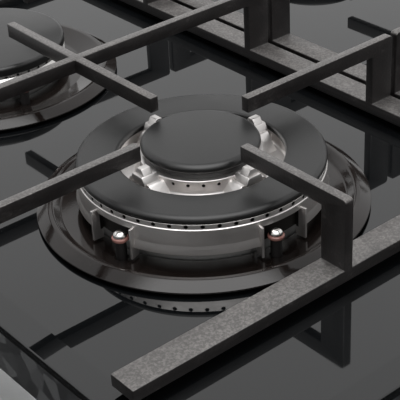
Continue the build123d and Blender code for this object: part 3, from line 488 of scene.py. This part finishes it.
def enamel(name, colour, rough, grain, depth, ior=1.5):
    """Fired glaze with a faint orange peel and a little dust."""
    finish = Finish(name, colour, rough, ior=ior)
    cloud = finish.noise(30.0, detail=5.0, rough=0.6)
    finish.set("Roughness", finish.ramped(cloud, 0.3, 0.75, rough * 0.86, rough * 1.2))
    lighter = tuple(channel * 1.45 + 0.004 for channel in colour)
    finish.set("Base Color", finish.blend(finish.ramped(cloud, 0.4, 0.85), colour, lighter))
    finish.bump(finish.noise(grain, detail=2.0), depth, 0.5)
    return finish.material


def cast_iron(name, worn):
    """Matt enamel over sand-cast iron, its up-facing faces lighter with dust and painted top
    light. Worn is how much the metal shows on rubbed edges.
    """
    dark, brown = (0.011, 0.009, 0.009), (0.036, 0.031, 0.030)
    top_light_dust, rubbed = (0.185, 0.175, 0.168), (0.50, 0.48, 0.46)
    finish = Finish(name, dark, 0.42, ior=1.6)
    coarse = finish.noise(260.0, detail=4.0, rough=0.65)
    fine = finish.noise(800.0, detail=3.0, rough=0.6)
    patches = finish.noise(75.0, detail=5.0, rough=0.7)
    upward = finish.axes(finish.node("ShaderNodeNewGeometry", out="Normal"))[2].above(0.5, 0.2)
    grains = finish.ramped(fine, 0.40, 0.66)
    # Painted top light, partly dust: faces that look up are blended towards a light grey, broken
    # up by grain and patches.
    dust_and_top_light = upward * (0.45 + 0.55 * grains) * finish.ramped(patches, 0.2, 0.7, 0.55, 1.0)
    ground = finish.blend(finish.ramped(patches, 0.35, 0.8) * grains, dark, brown)
    ground = finish.blend(dust_and_top_light, ground, top_light_dust)
    rubs = finish.noise(150.0, detail=5.0, rough=0.72)
    show = finish.ramped(rubs, 0.62 - 0.35 * worn, 0.8 - 0.2 * worn)
    finish.set("Base Color", finish.blend(show * worn, ground, rubbed))
    finish.set("Roughness", finish.ramped(patches, 0.3, 0.8, 0.36, 0.52))
    finish.set("Metallic", show * (0.55 * worn))
    finish.bump(coarse * 0.4 + fine * 0.6, 0.0004, 0.55)
    return finish.material


def machined(name, colour, rough, depth=0.00005, shaded_rings=None):
    """Turned metal with lathe lines and slight tarnish.

    The rings given last are painted near black as shade in hollows, and made less metallic: inner
    and outer radius, low and high, in millimetres.
    """
    shade_black = (0.008, 0.007, 0.006)
    finish = Finish(name, colour, rough, metal=1.0)
    lines = turned_marks(finish)
    tarnish = finish.noise(45.0, detail=5.0, rough=0.65)
    dull = tuple(channel * 0.84 for channel in colour)
    mask = finish.ramped(tarnish, 0.3, 0.75) * 0.7 + lines * 0.3
    tone = finish.blend(mask, colour, dull)
    # Painted shade: the listed rings are painted near black and made less metallic where shade
    # falls in the hollows.
    if shaded_rings:
        x, y, z = finish.axes(finish.place())
        radius = (x * x + y * y).root()
        soft = 0.2 * MM
        shade_mask = 0.0 * z
        for near, far, low, high in shaded_rings:
            ring = radius.above(near * MM, soft) * radius.below(far * MM, soft)
            shade_mask = shade_mask.most(ring * z.above(low * MM, soft) * z.below(high * MM, soft))
        tone = finish.blend(shade_mask, tone, shade_black)
        finish.set("Metallic", 0.85 - 0.85 * shade_mask)
    finish.set("Base Color", tone)
    uneven = tarnish * 0.6 + lines * 0.4
    finish.set("Roughness", finish.ramped(uneven, 0.3, 0.7, rough * 0.8, rough * 1.25))
    finish.bump(lines, depth, 0.35)
    return finish.material


def cast_metal(name, colour, rough, grain=900.0):
    """Die-cast or rolled metal with a fine even grain."""
    finish = Finish(name, colour, rough, metal=1.0)
    grains = finish.noise(grain, detail=3.0, rough=0.6)
    cloud = finish.noise(38.0, detail=4.0)
    dull = tuple(channel * 0.82 for channel in colour)
    finish.set("Base Color", finish.blend(finish.ramped(cloud, 0.35, 0.75), colour, dull))
    uneven = grains * 0.5 + cloud * 0.5
    finish.set("Roughness", finish.ramped(uneven, 0.35, 0.65, rough * 0.8, rough * 1.25))
    finish.bump(grains, 0.00012, 0.4)
    return finish.material


def zinc_sheet():
    """Galvanised sheet with its flower pattern of flat crystals."""
    finish = Finish("zinc_sheet", (0.56, 0.57, 0.58), 0.38, metal=1.0)
    crystals = finish.node(
        "ShaderNodeTexVoronoi", {"feature": "F1"}, Vector=finish.place(), Scale=95.0, out="Color"
    )
    tone = finish.axes(crystals)[0]
    finish.set("Base Color", finish.blend(tone, (0.50, 0.51, 0.53), (0.64, 0.65, 0.66)))
    finish.set("Roughness", finish.ramped(tone, 0.0, 1.0, 0.28, 0.48))
    finish.bump(finish.noise(420.0, detail=3.0), 0.00006, 0.4)
    return finish.material


def moulded(name, colour, rough, grain=1100.0):
    """Moulded plastic, rubber or fired ceramic with a spark-eroded or fired skin."""
    finish = Finish(name, colour, rough)
    cloud = finish.noise(55.0, detail=4.0)
    bright = tuple(min(1.0, channel * 1.25) for channel in colour)
    finish.set("Base Color", finish.blend(finish.ramped(cloud, 0.35, 0.8), colour, bright))
    finish.set("Roughness", finish.ramped(cloud, 0.3, 0.75, rough * 0.88, min(1.0, rough * 1.12)))
    finish.bump(finish.noise(grain, detail=2.0), 0.00008, 0.5)
    return finish.material


iron = cast_iron("cast_iron", 0.12)
worn_iron = cast_iron("worn_cast_iron", 0.9)
cap_black = enamel("cap_enamel", (0.013, 0.013, 0.013), 0.34, 1600.0, 0.00006)
ring_black = enamel("ring_enamel", (0.012, 0.009, 0.008), 0.10, 700.0, 0.00004, ior=1.45)
bright_casting = machined("turned_aluminium", (0.72, 0.71, 0.69), 0.27)
# Painted shade in the wok head's hollows: the skirt's inside seen through the windows, the groove
# under the ring cap with the channel behind the ports, and the crown's wall under the raised inner
# cap.
painted_shade_rings = [(-1.0, 65.6, 8.5, 19.75), (58.0, 66.2, 21.5, 26.9), (26.0, 32.6, 26.0, 30.8)]
crown_casting = machined("turned_crown", (0.74, 0.715, 0.70), 0.36, shaded_rings=painted_shade_rings)
# Painted shade: the sleeves under the collars are near black to stand for the shade in the holes
# round the posts.
sleeve_shade_black = moulded("ceramic_sleeve", (0.006, 0.005, 0.005), 0.6)
collar_glaze = moulded("ceramic_collar", (0.42, 0.20, 0.17), 0.22, grain=700.0)
knob_black = moulded("knob_plastic", (0.017, 0.017, 0.018), 0.42)
pointer_white = moulded("pointer_paint", (0.72, 0.72, 0.70), 0.45)
polished_steel = machined("polished_steel", (0.82, 0.81, 0.79), 0.14, depth=0.00002)

finishes = {
    "black_glass": black_glass(),
    "rubber_seal": moulded("rubber_seal", (0.022, 0.022, 0.022), 0.8),
    "rubber_foot": moulded("rubber_foot", (0.016, 0.016, 0.016), 0.75),
    "pan_steel": zinc_sheet(),
    "screw_steel": cast_metal("screw_steel", (0.66, 0.65, 0.62), 0.28),
    "stem_steel": machined("stem_steel", (0.62, 0.61, 0.60), 0.3),
    "sensor_steel": polished_steel,
    "brass": machined("brass", (0.72, 0.52, 0.24), 0.26),
    "ceramic_collar": collar_glaze,
    "cap_enamel": cap_black,
    "ring_enamel": ring_black,
    "head_aluminium": bright_casting,
    "cup_aluminium": cast_metal("cast_aluminium", (0.52, 0.52, 0.51), 0.42),
    "grate_iron": iron,
    "bezel_metal": machined("bezel_steel", (0.58, 0.58, 0.57), 0.3),
    "knob_plastic": knob_black,
    "tube_metal": cast_metal("drawn_tube", (0.66, 0.66, 0.65), 0.3, grain=1500.0),
    "copper_lead": cast_metal("copper_lead", (0.70, 0.40, 0.26), 0.32),
    "silicone_lead": moulded("silicone_lead", (0.74, 0.71, 0.66), 0.55),
    "module_plastic": moulded("module_plastic", (0.46, 0.46, 0.44), 0.5),
    "gland_plastic": moulded("gland_plastic", (0.028, 0.028, 0.029), 0.5),
}
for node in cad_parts.values():
    for place, paint in enumerate(node.data.materials):
        node.data.materials[place] = finishes[paint.name.split(".")[0]]


# ---- Burners ------------------------------------------------------------------------------
RING_LAP = 6.0
CUP_WALL = 3.0
HEAD_WALL = 4.5
FIT = 0.4
RING_SHEET = 1.2
SPARK_TURN = -167.0
SENSOR_TURN = -98.0
POST_GAP = 2.0
POST_RISE = 2.8
SLEEVE = 3.0
SLEEVE_ROOM = 0.5
COLLAR = 4.4
DOME = 3.6
RIB_DROP = 1.6
RIB_WIDTH = 2.0
RIB_ROUNDS = [0.2, 0.3, 0.3, 0.2]
SPIGOT_DROP = 4.2
GAS_CHANNEL_DEPTH = 11.4
CHANNEL_OUTER = 62.5
CHANNEL_INNER = 50.0
THROAT = 46.5
QUARTERS = (0, 90, 180, 270)
CROWN_RISE = 3.6


class Burner(NamedTuple):
    """Sizes of a burner; heights count from the glass, and turn is its posts' extra angle."""

    centre: tuple
    head_radius: float
    rim_radius: float
    seat: float
    head_height: float
    cap_height: float
    ports: int
    turn: float

    @property
    def top(self):
        """Height of the head's upper face."""
        return self.seat + self.head_height

    @property
    def spigot(self):
        """Radius of the part of the head that stands in its cup."""
        return self.head_radius - RING_LAP - CUP_WALL - FIT

    def posts(self):
        """Places of the spark electrode and the thermocouple round the burner's axis."""
        reach = self.head_radius + POST_GAP
        turns = [math.radians(angle + self.turn) for angle in (SPARK_TURN, SENSOR_TURN)]
        return [(reach * math.cos(turn), reach * math.sin(turn)) for turn in turns]


wok = Burner((-148.0, -83.0), 67.0, 90.3, 9.2, 18.2, 3.4, 50, 0)
round_burners = {
    "rapid": Burner((-148.0, 133.0), 50.0, 82.4, 7.0, 14.2, 6.0, 40, 0),
    "semi_rapid": Burner((148.0, 133.0), 37.0, 62.0, 7.0, 14.2, 6.0, 30, 30),
    "auxiliary": Burner((148.0, -83.0), 25.0, 50.0, 7.0, 14.2, 5.5, 20, 30),
}
burners = {"wok": wok, **round_burners}


def section(corners):
    """Rounded outline from corners that are listed as radius, height and rounding."""
    outline = [corner[:2] for corner in corners]
    rounds = [corner[2] for corner in corners]
    return rounded(outline, rounds, fine=3)


def port_pins(angles, radius, reach, length, height):
    """Round pins that bore the flame ports, all in one form."""
    pins = Form()
    for angle in angles:
        pins.prism(circle(radius, 10), facing(angle, reach, height), length)
    return pins


def post_pins(burner, radius, corners, bottom, top):
    """Upright pins that make room for the two posts, all in one form."""
    pins = Form()
    for spot in burner.posts():
        base = Matrix.Translation((0, 0, bottom))
        pins.prism(circle(radius, corners, spot), base, top - bottom)
    return pins


def drip_ring(name, burner):
    """Pressed ring: flat floor, raised crest and a rim that turns down over the glass."""
    floor, crest_height, rim_height = 2.0, 6.2, 2.6
    inner = burner.head_radius - RING_LAP + FIT
    flat = burner.head_radius + POST_GAP + SLEEVE + SLEEVE_ROOM + 5.0
    crest = burner.rim_radius - 7.4
    upper = [
        (inner, floor),
        (flat, floor),
        (crest - 1.2, crest_height),
        (crest + 1.2, crest_height),
        (burner.rim_radius, rim_height),
    ]
    lower = [(radius, height - RING_SHEET) for radius, height in reversed(upper)]
    bends = [0.3, 1.8, 2.4, 1.9, 0.35]
    form = Form().lathe(rounded(upper + lower, bends + bends[::-1], fine=6), steps=FINE_TURN)
    ring = form.piece(f"{name}_ring", burner.centre)
    cut(ring, post_pins(burner, SLEEVE + SLEEVE_ROOM, 32, -2, 6))
    dress(ring, "hob", "ring_enamel", ring_black, f"{name}_drip_ring")


def wok_casting():
    """Turned body of the triple-crown head: ported outer ring, small crown and open throat."""
    wall, seat, top, spigot = wok.head_radius, wok.seat, wok.top, wok.spigot
    floor = top - GAS_CHANNEL_DEPTH
    corners = [
        # radius, height, rounding
        (7.0, -5.0, 0.3),
        (10.0, -5.0, 0.5),
        (10.0, floor - 3, 2),
        (spigot - 2, floor - 3, 2),
        (spigot - 2, seat - SPIGOT_DROP, 0.3),
        (spigot, seat - SPIGOT_DROP, 0.4),
        (spigot, seat, 0.3),
        (wall + 1.3, seat, 0.4),
        (wall, seat + 4.9, 0.2),
        (wall, top - 4.1, 0.2),
        (wall - 0.5, top - 3.8, 0.2),
        (wall - 0.5, top - 1.0, 0.2),
        (wall - 2.6, top - 1.0, 0.3),
        (wall - 2.6, top, 0.2),
        (CHANNEL_OUTER, top, 0.3),
        (CHANNEL_OUTER, floor, 0.6),
        (CHANNEL_INNER, floor, 0.6),
        (CHANNEL_INNER, top, 0.3),
        (THROAT, top, 0.5),
        (THROAT, floor + 4, 1.5),
        (36.0, floor + 4, 1.5),
        (33.0, floor + 8, 1.5),
        (33.0, top + CROWN_RISE, 0.5),
        (28.0, top + CROWN_RISE, 0.3),
        (28.0, floor, 1.0),
        (7.0, floor, 0.5),
    ]
    return Form().lathe(section(corners), steps=FINE_TURN).piece("wok_burner", wok.centre)


def add_bridges(head):
    """Four stepped bridges between the small crown and the outer ring, each with its lug."""
    bridge_end = math.sqrt(44.2**2 - 11.0**2)
    flanks = [
        # half width and height of each corner, then start and end along the bridge
        ([(14.5, 20.0), (11.5, 23.6), (8.6, 28.2), (7.4, 29.2)], 29.4, 41.4),
        ([(5.8, 27.0), (5.8, 29.2), (4.2, 32.5), (3.8, 33.0)], 32.6, bridge_end),
        ([(3.9, 31.5), (3.9, 32.8), (1.7, 36.3)], 35.4, 41.2),
    ]
    lug_outline = [(-5, -3), (5, -3), (5, 3), (-5, 3)]
    lug_height, lug_length = 22.0, THROAT - bridge_end + 2
    for angle in QUARTERS:
        for flank, start, end in flanks:
            outline = flank + [(-across, height) for across, height in reversed(flank)]
            bridge = Form().prism(outline, facing(angle, start), end - start)
            add(head, bridge.soften(0.45, fine=3))
        lug = Form().prism(lug_outline, facing(angle, bridge_end - 1, lug_height), lug_length)
        add(head, lug.soften(0.5))


def cut_windows(head):
    """Windows in the skirt round the electrode and the sensor, with a fin on each side."""
    half_width, inside, beyond = 11.0, 63.5, 134
    bottom, window_top = wok.seat - 2, 19.8
    fin_sheet, fin_low, fin_height, fin_depth = 1.3, 3.2, 17.6, 6.2
    for angle in (-172.6, -93.1):
        first, last = [math.radians(angle + side * half_width) for side in (-1, 1)]
        arc = [first + (last - first) * i / 16 for i in range(17)]
        outline = [(inside * math.cos(turn), inside * math.sin(turn)) for turn in arc]
        outline += [(beyond * math.cos(turn), beyond * math.sin(turn)) for turn in reversed(arc)]
        cut(head, Form().prism(outline, Matrix.Translation((0, 0, bottom)), window_top - bottom))
        for side in (-1, 1):
            near, far = sorted((0.0, side * fin_sheet))
            fin = Form().prism(
                [(near, 0), (far, 0), (far, fin_height), (near, fin_height)],
                facing(angle + side * half_width, wok.head_radius - 3.1, fin_low),
                fin_depth,
            )
            add(head, fin.soften(0.25))


def wok_head():
    """Triple-crown head with its bridges, windows, feed holes and two rows of ports."""
    head = wok_casting()
    add_bridges(head)
    cut_windows(head)
    floor = wok.top - GAS_CHANNEL_DEPTH
    feed_circle, feed_radius = 52.7, 1.8
    feeds = Form()
    for spot in circle(feed_circle, 12):
        feeds.prism(circle(feed_radius, 12, spot), Matrix.Translation((0, 0, floor - 4)), 5)
    crown_turns = [quarter + angle for quarter in QUARTERS for angle in (24, 38, 52, 66)]
    cut(
        head,
        feeds,
        port_pins(evenly(wok.ports), 1.15, CHANNEL_OUTER - 1, 6.5, wok.top - 2.3),
        port_pins(crown_turns, 0.95, 27.0, 7.0, wok.top + CROWN_RISE - 2.6),
    )
    dress(head, "wok_head", "head_aluminium", crown_casting, "wok_head")


def round_head(name, burner):
    """Head of a plain burner: ported ring on a spigot, notched round its two posts."""
    wall, seat, top, spigot = burner.head_radius, burner.seat, burner.top, burner.spigot
    inside = wall - HEAD_WALL
    corners = [
        # radius, height, rounding
        (4.5, -5.0, 0.3),
        (7.5, -5.0, 0.3),
        (7.5, seat, 1),
        (spigot - 2, seat, 0.3),
        (spigot - 2, seat - SPIGOT_DROP, 0.3),
        (spigot, seat - SPIGOT_DROP, 0.3),
        (spigot, seat, 0.3),
        (wall, seat, 0.4),
        (wall, top - 4.1, 0.25),
        (wall - 1.7, top - 2.4, 0.35),
        (wall - 1.7, top, 0.25),
        (inside, top, 0.3),
        (inside, seat + 3, 0.6),
        (4.5, seat + 3, 0.3),
    ]
    head = Form().lathe(section(corners)).piece(f"{name}_burner", burner.centre)
    notch_radius, notch_top = 4.6, seat + POST_RISE + 7.4
    notches = post_pins(burner, notch_radius, 40, seat - 2, notch_top)
    cut(head, notches, port_pins(evenly(burner.ports), 0.9, inside - 1, 6.5, top - 1.4))
    dress(head, f"{name}_head", "head_aluminium", bright_casting, f"{name}_head")


def under_rib(radius, bottom):
    """Corners of the rib under a cap that keeps it centred on its head."""
    return [
        (radius - RIB_WIDTH, bottom),
        (radius - RIB_WIDTH, bottom - RIB_DROP),
        (radius, bottom - RIB_DROP),
        (radius, bottom),
    ]


def cap(name, body, centre, outline, rounds, fine=7):
    """Turned cap in place of the CAD node that is named like its body."""
    form = Form().lathe(rounded(outline, rounds, fine), steps=FINE_TURN)
    piece = form.piece(name, centre, smooth=50)
    dress(piece, body, "cap_enamel", cap_black, body)


def caps():
    """Ring cap and raised inner cap of the triple-crown burner, and the plain caps."""
    bottom, wall, hole = wok.top, wok.head_radius, 44.8
    top = bottom + wok.cap_height
    outline = [
        (hole, bottom),
        *under_rib(wall - HEAD_WALL - 1.0, bottom),
        (wall, bottom),
        (wall, top),
        (hole, top),
    ]
    rounds = [0.4, *RIB_ROUNDS, 0.5, 2.8, 1.6]
    cap("wok_outer_cap", "wok_ring_cap", wok.centre, outline, rounds)
    low, height = wok.top + CROWN_RISE, 8.2
    neck, neck_height, radius = 29.5, 3.8, 32
    outline = [
        (0, low),
        *under_rib(27.0, low),
        (neck, low),
        (neck, low + neck_height),
        (radius, low + neck_height),
        (radius, low + height),
        (0, low + height),
    ]
    rounds = [0, *RIB_ROUNDS, 0.2, 0.8, 1.0, 3.3, 0]
    cap("wok_inner_cap", "wok_crown_cap", wok.centre, outline, rounds, fine=8)
    for name, burner in round_burners.items():
        low, radius = burner.top, burner.head_radius
        outline = [
            (0, low),
            *under_rib(radius - HEAD_WALL - 1.0, low),
            (radius, low),
            (radius, low + burner.cap_height),
            (0, low + burner.cap_height),
        ]
        rounds = [0, *RIB_ROUNDS, 0.8, 2.4, 0]
        cap(f"{name}_lid", f"{name}_cap", burner.centre, outline, rounds)


def electrodes():
    """Glazed collars with the spark pins and the flame sensors that stand in them, over sleeves
    painted near black as shade.
    """
    collars, sleeves, pins, sensors = Form(), Form(), Form(), Form()
    hole, pin = 1.2, 1.1
    sleeve_foot, pin_foot = -16, -24
    for burner in burners.values():
        base = burner.seat + POST_RISE
        low, high, tip = base + 0.2, base + 2.4, base + 5.4
        # The sleeve under each collar is painted near black as shade.
        sleeve = [(hole, sleeve_foot), (SLEEVE, sleeve_foot), (SLEEVE, low), (hole, low)]
        collar = [(hole, low), (COLLAR, low), (COLLAR, high), (hole, high)]
        dome = [(0, pin_foot), (pin, pin_foot), (pin, high), (DOME, high), (DOME, tip), (0, tip)]
        shapes = [
            (sleeves, rounded(sleeve, [0, 0.3, 0.2, 0])),
            (collars, rounded(collar, [0.1, 0.9, 0.9, 0.1], fine=6)),
        ]
        dome_shape = rounded(dome, [0, 0.2, 0, 0.4, 2.6, 0], fine=8)
        for (x, y), tips in zip(burner.posts(), (pins, sensors)):
            spot = (burner.centre[0] + x, burner.centre[1] + y)
            for form, shape in (*shapes, (tips, dome_shape)):
                form.lathe(shape, SMALL_TURN, spot)
    for form, name, slot, finish, *nodes in (
        (collars, "glazed_collars", "ceramic_collar", collar_glaze, "electrode_insulators"),
        (sleeves, "ceramic_sleeves", "ceramic_collar", sleeve_shade_black),
        (pins, "spark_pins", "sensor_steel", polished_steel, "electrode_pins"),
        (sensors, "flame_sensors", "sensor_steel", polished_steel, "thermocouples"),
    ):
        dress(form.piece(name), "hob", slot, finish, *nodes)


for name, burner in burners.items():
    drip_ring(name, burner)
wok_head()
for name, burner in round_burners.items():
    round_head(name, burner)
caps()
electrodes()


# ---- Grates -------------------------------------------------------------------------------
def grate(word, side):
    """Cast grate: low frame on feet, posts, raised fingers, arm and outer rail."""
    thin, wide, leg = 2.75, 8.25, 9.0
    middle = side * 150.0
    inner_bar = middle - side * 140.0
    rail = middle + side * 128.0
    crosses = (-82.0, 134.0)
    ends = (-186.0, 238.0)
    arm = 26.0
    low, high, full = (3.7, 10.7), (41.0, 50.0), (3.7, 50.0)
    outer = rail + side * thin
    inner = inner_bar - side * wide
    inner_outside = inner_bar + side * wide
    bars = [
        (inner_outside, ends[0] - wide, inner, ends[1] + wide, low),
        (rail - thin, crosses[0] - thin, rail + thin, crosses[1] + thin, high),
        (outer, arm - wide, outer - side * leg, arm + wide, full),
        (outer, arm - thin, inner, arm + thin, high),
        (inner_outside, arm - thin, inner, arm + thin, full),
    ]
    for end in ends:
        bars.append((outer, end - wide, inner, end + wide, low))
        bars.append((middle - thin, end - wide, middle + thin, end + wide, full))
    # from a burner's middle to the tip of a finger: outer or front one, inner or back one
    far, near = 38.2, 34.6
    reach_left, reach_right = (far, near) if side < 0 else (near, far)
    left_end, right_end = sorted((outer, inner))
    for cross in crosses:
        bars.append((left_end, cross - thin, middle - reach_left, cross + thin, high))
        bars.append((middle + reach_right, cross - thin, right_end, cross + thin, high))
        bars.append((inner_outside, cross - thin, inner, cross + thin, full))
    runs = [
        (ends[0] - wide, crosses[0] - far),
        (crosses[0] + near, crosses[1] - far),
        (crosses[1] + near, ends[1] + wide),
    ]
    for start, end in runs:
        bars.append((middle - thin, start, middle + thin, end, high))
    boxes = []
    for x0, y0, x1, y1, (bottom, top) in bars:
        xs, ys = sorted((x0, x1)), sorted((y0, y1))
        boxes.append(((xs[0], ys[0], bottom), (xs[1], ys[1], top)))
    casting = Form().blocks(boxes)
    slack, corner_round, edge_round = 0.1, 2.2, 0.75

    def outer_corner(edge):
        """Top edge where a finger turns down into its post."""
        spots = [vert.co for vert in edge.verts]
        at_top = all(spot.z > high[1] - slack for spot in spots)
        at_front = all(spot.y < ends[0] - wide + slack for spot in spots)
        at_back = all(spot.y > ends[1] + wide - slack for spot in spots)
        at_inner = all(abs(spot.x - inner) < slack for spot in spots)
        return at_top and (at_front or at_back or at_inner)

    casting.soften(corner_round, fine=4, wanted=outer_corner)
    casting.soften(edge_round, finish_slot=1)
    piece = casting.piece(f"{word}_casting", smooth=40)
    nodes = [f"grate_{kind}_{word}" for kind in ("frame", "fingers")]
    dress(piece, f"{word}_grate", "grate_iron", [iron, worn_iron], *nodes)


grate("left", -1)
grate("right", 1)


# ---- Knobs --------------------------------------------------------------------------------
def knob(name, x):
    """Round skirt with a straight grip across it and a painted pointer line."""
    centre = (x, KNOB_Y)
    skirt = [(4.08, 3), (19, 3), (19, 11), (16.5, 13), (4.08, 13)]
    well = [(0, 2), (16.5, 2), (16.5, 8), (7.5, 8), (7.5, 5), (4.1, 5), (4.1, 20), (0, 20)]
    form = Form().lathe(rounded(skirt, [0.2, 0.4, 1.4, 1.2, 0.2]), steps=128)
    body = form.piece(f"{name}_body", centre)
    add(body, Form().block((-5.5, -17.5, 9), (5.5, 17.5, 24)).soften(1.2, fine=4))
    cut(body, Form().lathe(well, steps=96), Form().block((-0.8, 8.7, 23.4), (0.8, 16.4, 26)))
    dress(body, name, "knob_plastic", knob_black, name)
    pointer = Form().block((-0.8, 8.7, 23.2), (0.8, 16.4, 23.7)).piece(f"{name}_pointer", centre)
    dress(pointer, name, "knob_plastic", pointer_white)


for number, x in enumerate(KNOB_PLACES, 1):
    knob(f"knob_{number}", x)


# ---- Studio -------------------------------------------------------------------------------
def lamp(name, place, size, power):
    """Soft box over the glass that lights matt surfaces and isn't mirrored in it."""
    light = bpy.data.lights.new(name, "AREA")
    light.shape = "RECTANGLE"
    light.size, light.size_y = size
    light.energy = power
    holder = bpy.data.objects.new(name, light)
    holder.location = place
    holder.rotation_mode = "QUATERNION"
    ahead = Vector((0, 0, 0.05)) - Vector(place)
    holder.rotation_quaternion = ahead.to_track_quat("-Z", "Y")
    holder.visible_glossy = False
    bpy.context.scene.collection.objects.link(holder)


def sky():
    """White tent overhead that darkens towards the horizon, on a white background.

    It comes down lowest ahead of the camera. Only glossy faces see it and the bright box overhead.
    """
    ahead_x, ahead_y = 0.62, 0.78
    box_x, box_y, box_z = 0.232, 0.292, 0.927
    world = bpy.data.worlds.new("studio")
    bpy.context.scene.world = world
    world.use_nodes = True
    tent = Wiring(world.node_tree)
    x, y, z = tent.axes(tent.node("ShaderNodeTexCoord", out="Generated"))
    beyond = (x * ahead_x + y * ahead_y).most(0.0)
    over = tent.ramped(z + beyond * 1.1, 0.04, 0.40)
    beside = tent.ramped(abs(x * ahead_y - y * ahead_x), 0.35, 0.85, 0.0, 0.35)
    box = tent.ramped(z * box_z - x * box_x - y * box_y, 0.80, 0.92, 0.0, 3.0)
    mirrored = 0.03 + 0.92 * over.most(beside * tent.ramped(z, -0.05, 0.10)) + box
    path = tent.node("ShaderNodeLightPath", out="Is Camera Ray")
    glossy = tent.node("ShaderNodeLightPath", out="Is Glossy Ray")
    lit = 0.04 + 0.30 * tent.ramped(z, 0.1, 0.7)
    strength = path + (1.0 - path) * (glossy * mirrored + (1.0 - glossy) * lit)
    light = tent.node("ShaderNodeBackground", None, (1.0, 1.0, 1.0, 1.0), strength)
    tent.node("ShaderNodeOutputWorld", None, light, out=None)


def studio():
    """Sky, three lamps and a pale floor."""
    sky()
    lamp("key", (0.1, 0.45, 1.7), (0.9, 0.9), 26)
    lamp("back", (0.5, 1.5, 1.1), (1.4, 0.7), 8)
    lamp("fill", (0.2, -1.6, 1.0), (1.0, 0.8), 6)
    ground = bpy.data.meshes.new("floor")
    ground.from_pydata([(-6, -6, 0), (6, -6, 0), (6, 6, 0), (-6, 6, 0)], [], [(0, 1, 2, 3)])
    floor = bpy.data.objects.new("floor", ground)
    floor.visible_glossy = False
    bpy.context.scene.collection.objects.link(floor)
    paint = Finish("pale_floor", (0.78, 0.78, 0.77), 0.75)
    paint.bump(paint.noise(60.0), 0.0002, 0.1)
    floor.data.materials.append(paint.material)


def camera():
    """Close view of the front left burner, from the front left and above."""
    azimuth, elevation, roll = (math.radians(angle) for angle in (38.40, 31.71, -3.17))
    target, distance = Vector((-149.835, -82.155, GLASS_TOP)) * MM, 0.68804
    ahead = Vector(
        (
            math.sin(azimuth) * math.cos(elevation),
            math.cos(azimuth) * math.cos(elevation),
            -math.sin(elevation),
        )
    )
    level = Vector((math.cos(azimuth), -math.sin(azimuth), 0))
    upright = level.cross(ahead)
    across = level * math.cos(roll) + upright * math.sin(roll)
    up = upright * math.cos(roll) - level * math.sin(roll)
    eye = bpy.data.cameras.new("camera")
    eye.sensor_width = 36.0
    eye.lens = 113.96
    eye.clip_start = 0.02
    holder = bpy.data.objects.new("camera", eye)
    axes = Matrix((across, up, -ahead)).transposed().to_4x4()
    holder.matrix_world = Matrix.Translation(target - ahead * distance) @ axes
    bpy.context.scene.collection.objects.link(holder)
    bpy.context.scene.camera = holder


studio()
camera()
bpy.context.scene.view_settings.view_transform = "Standard"
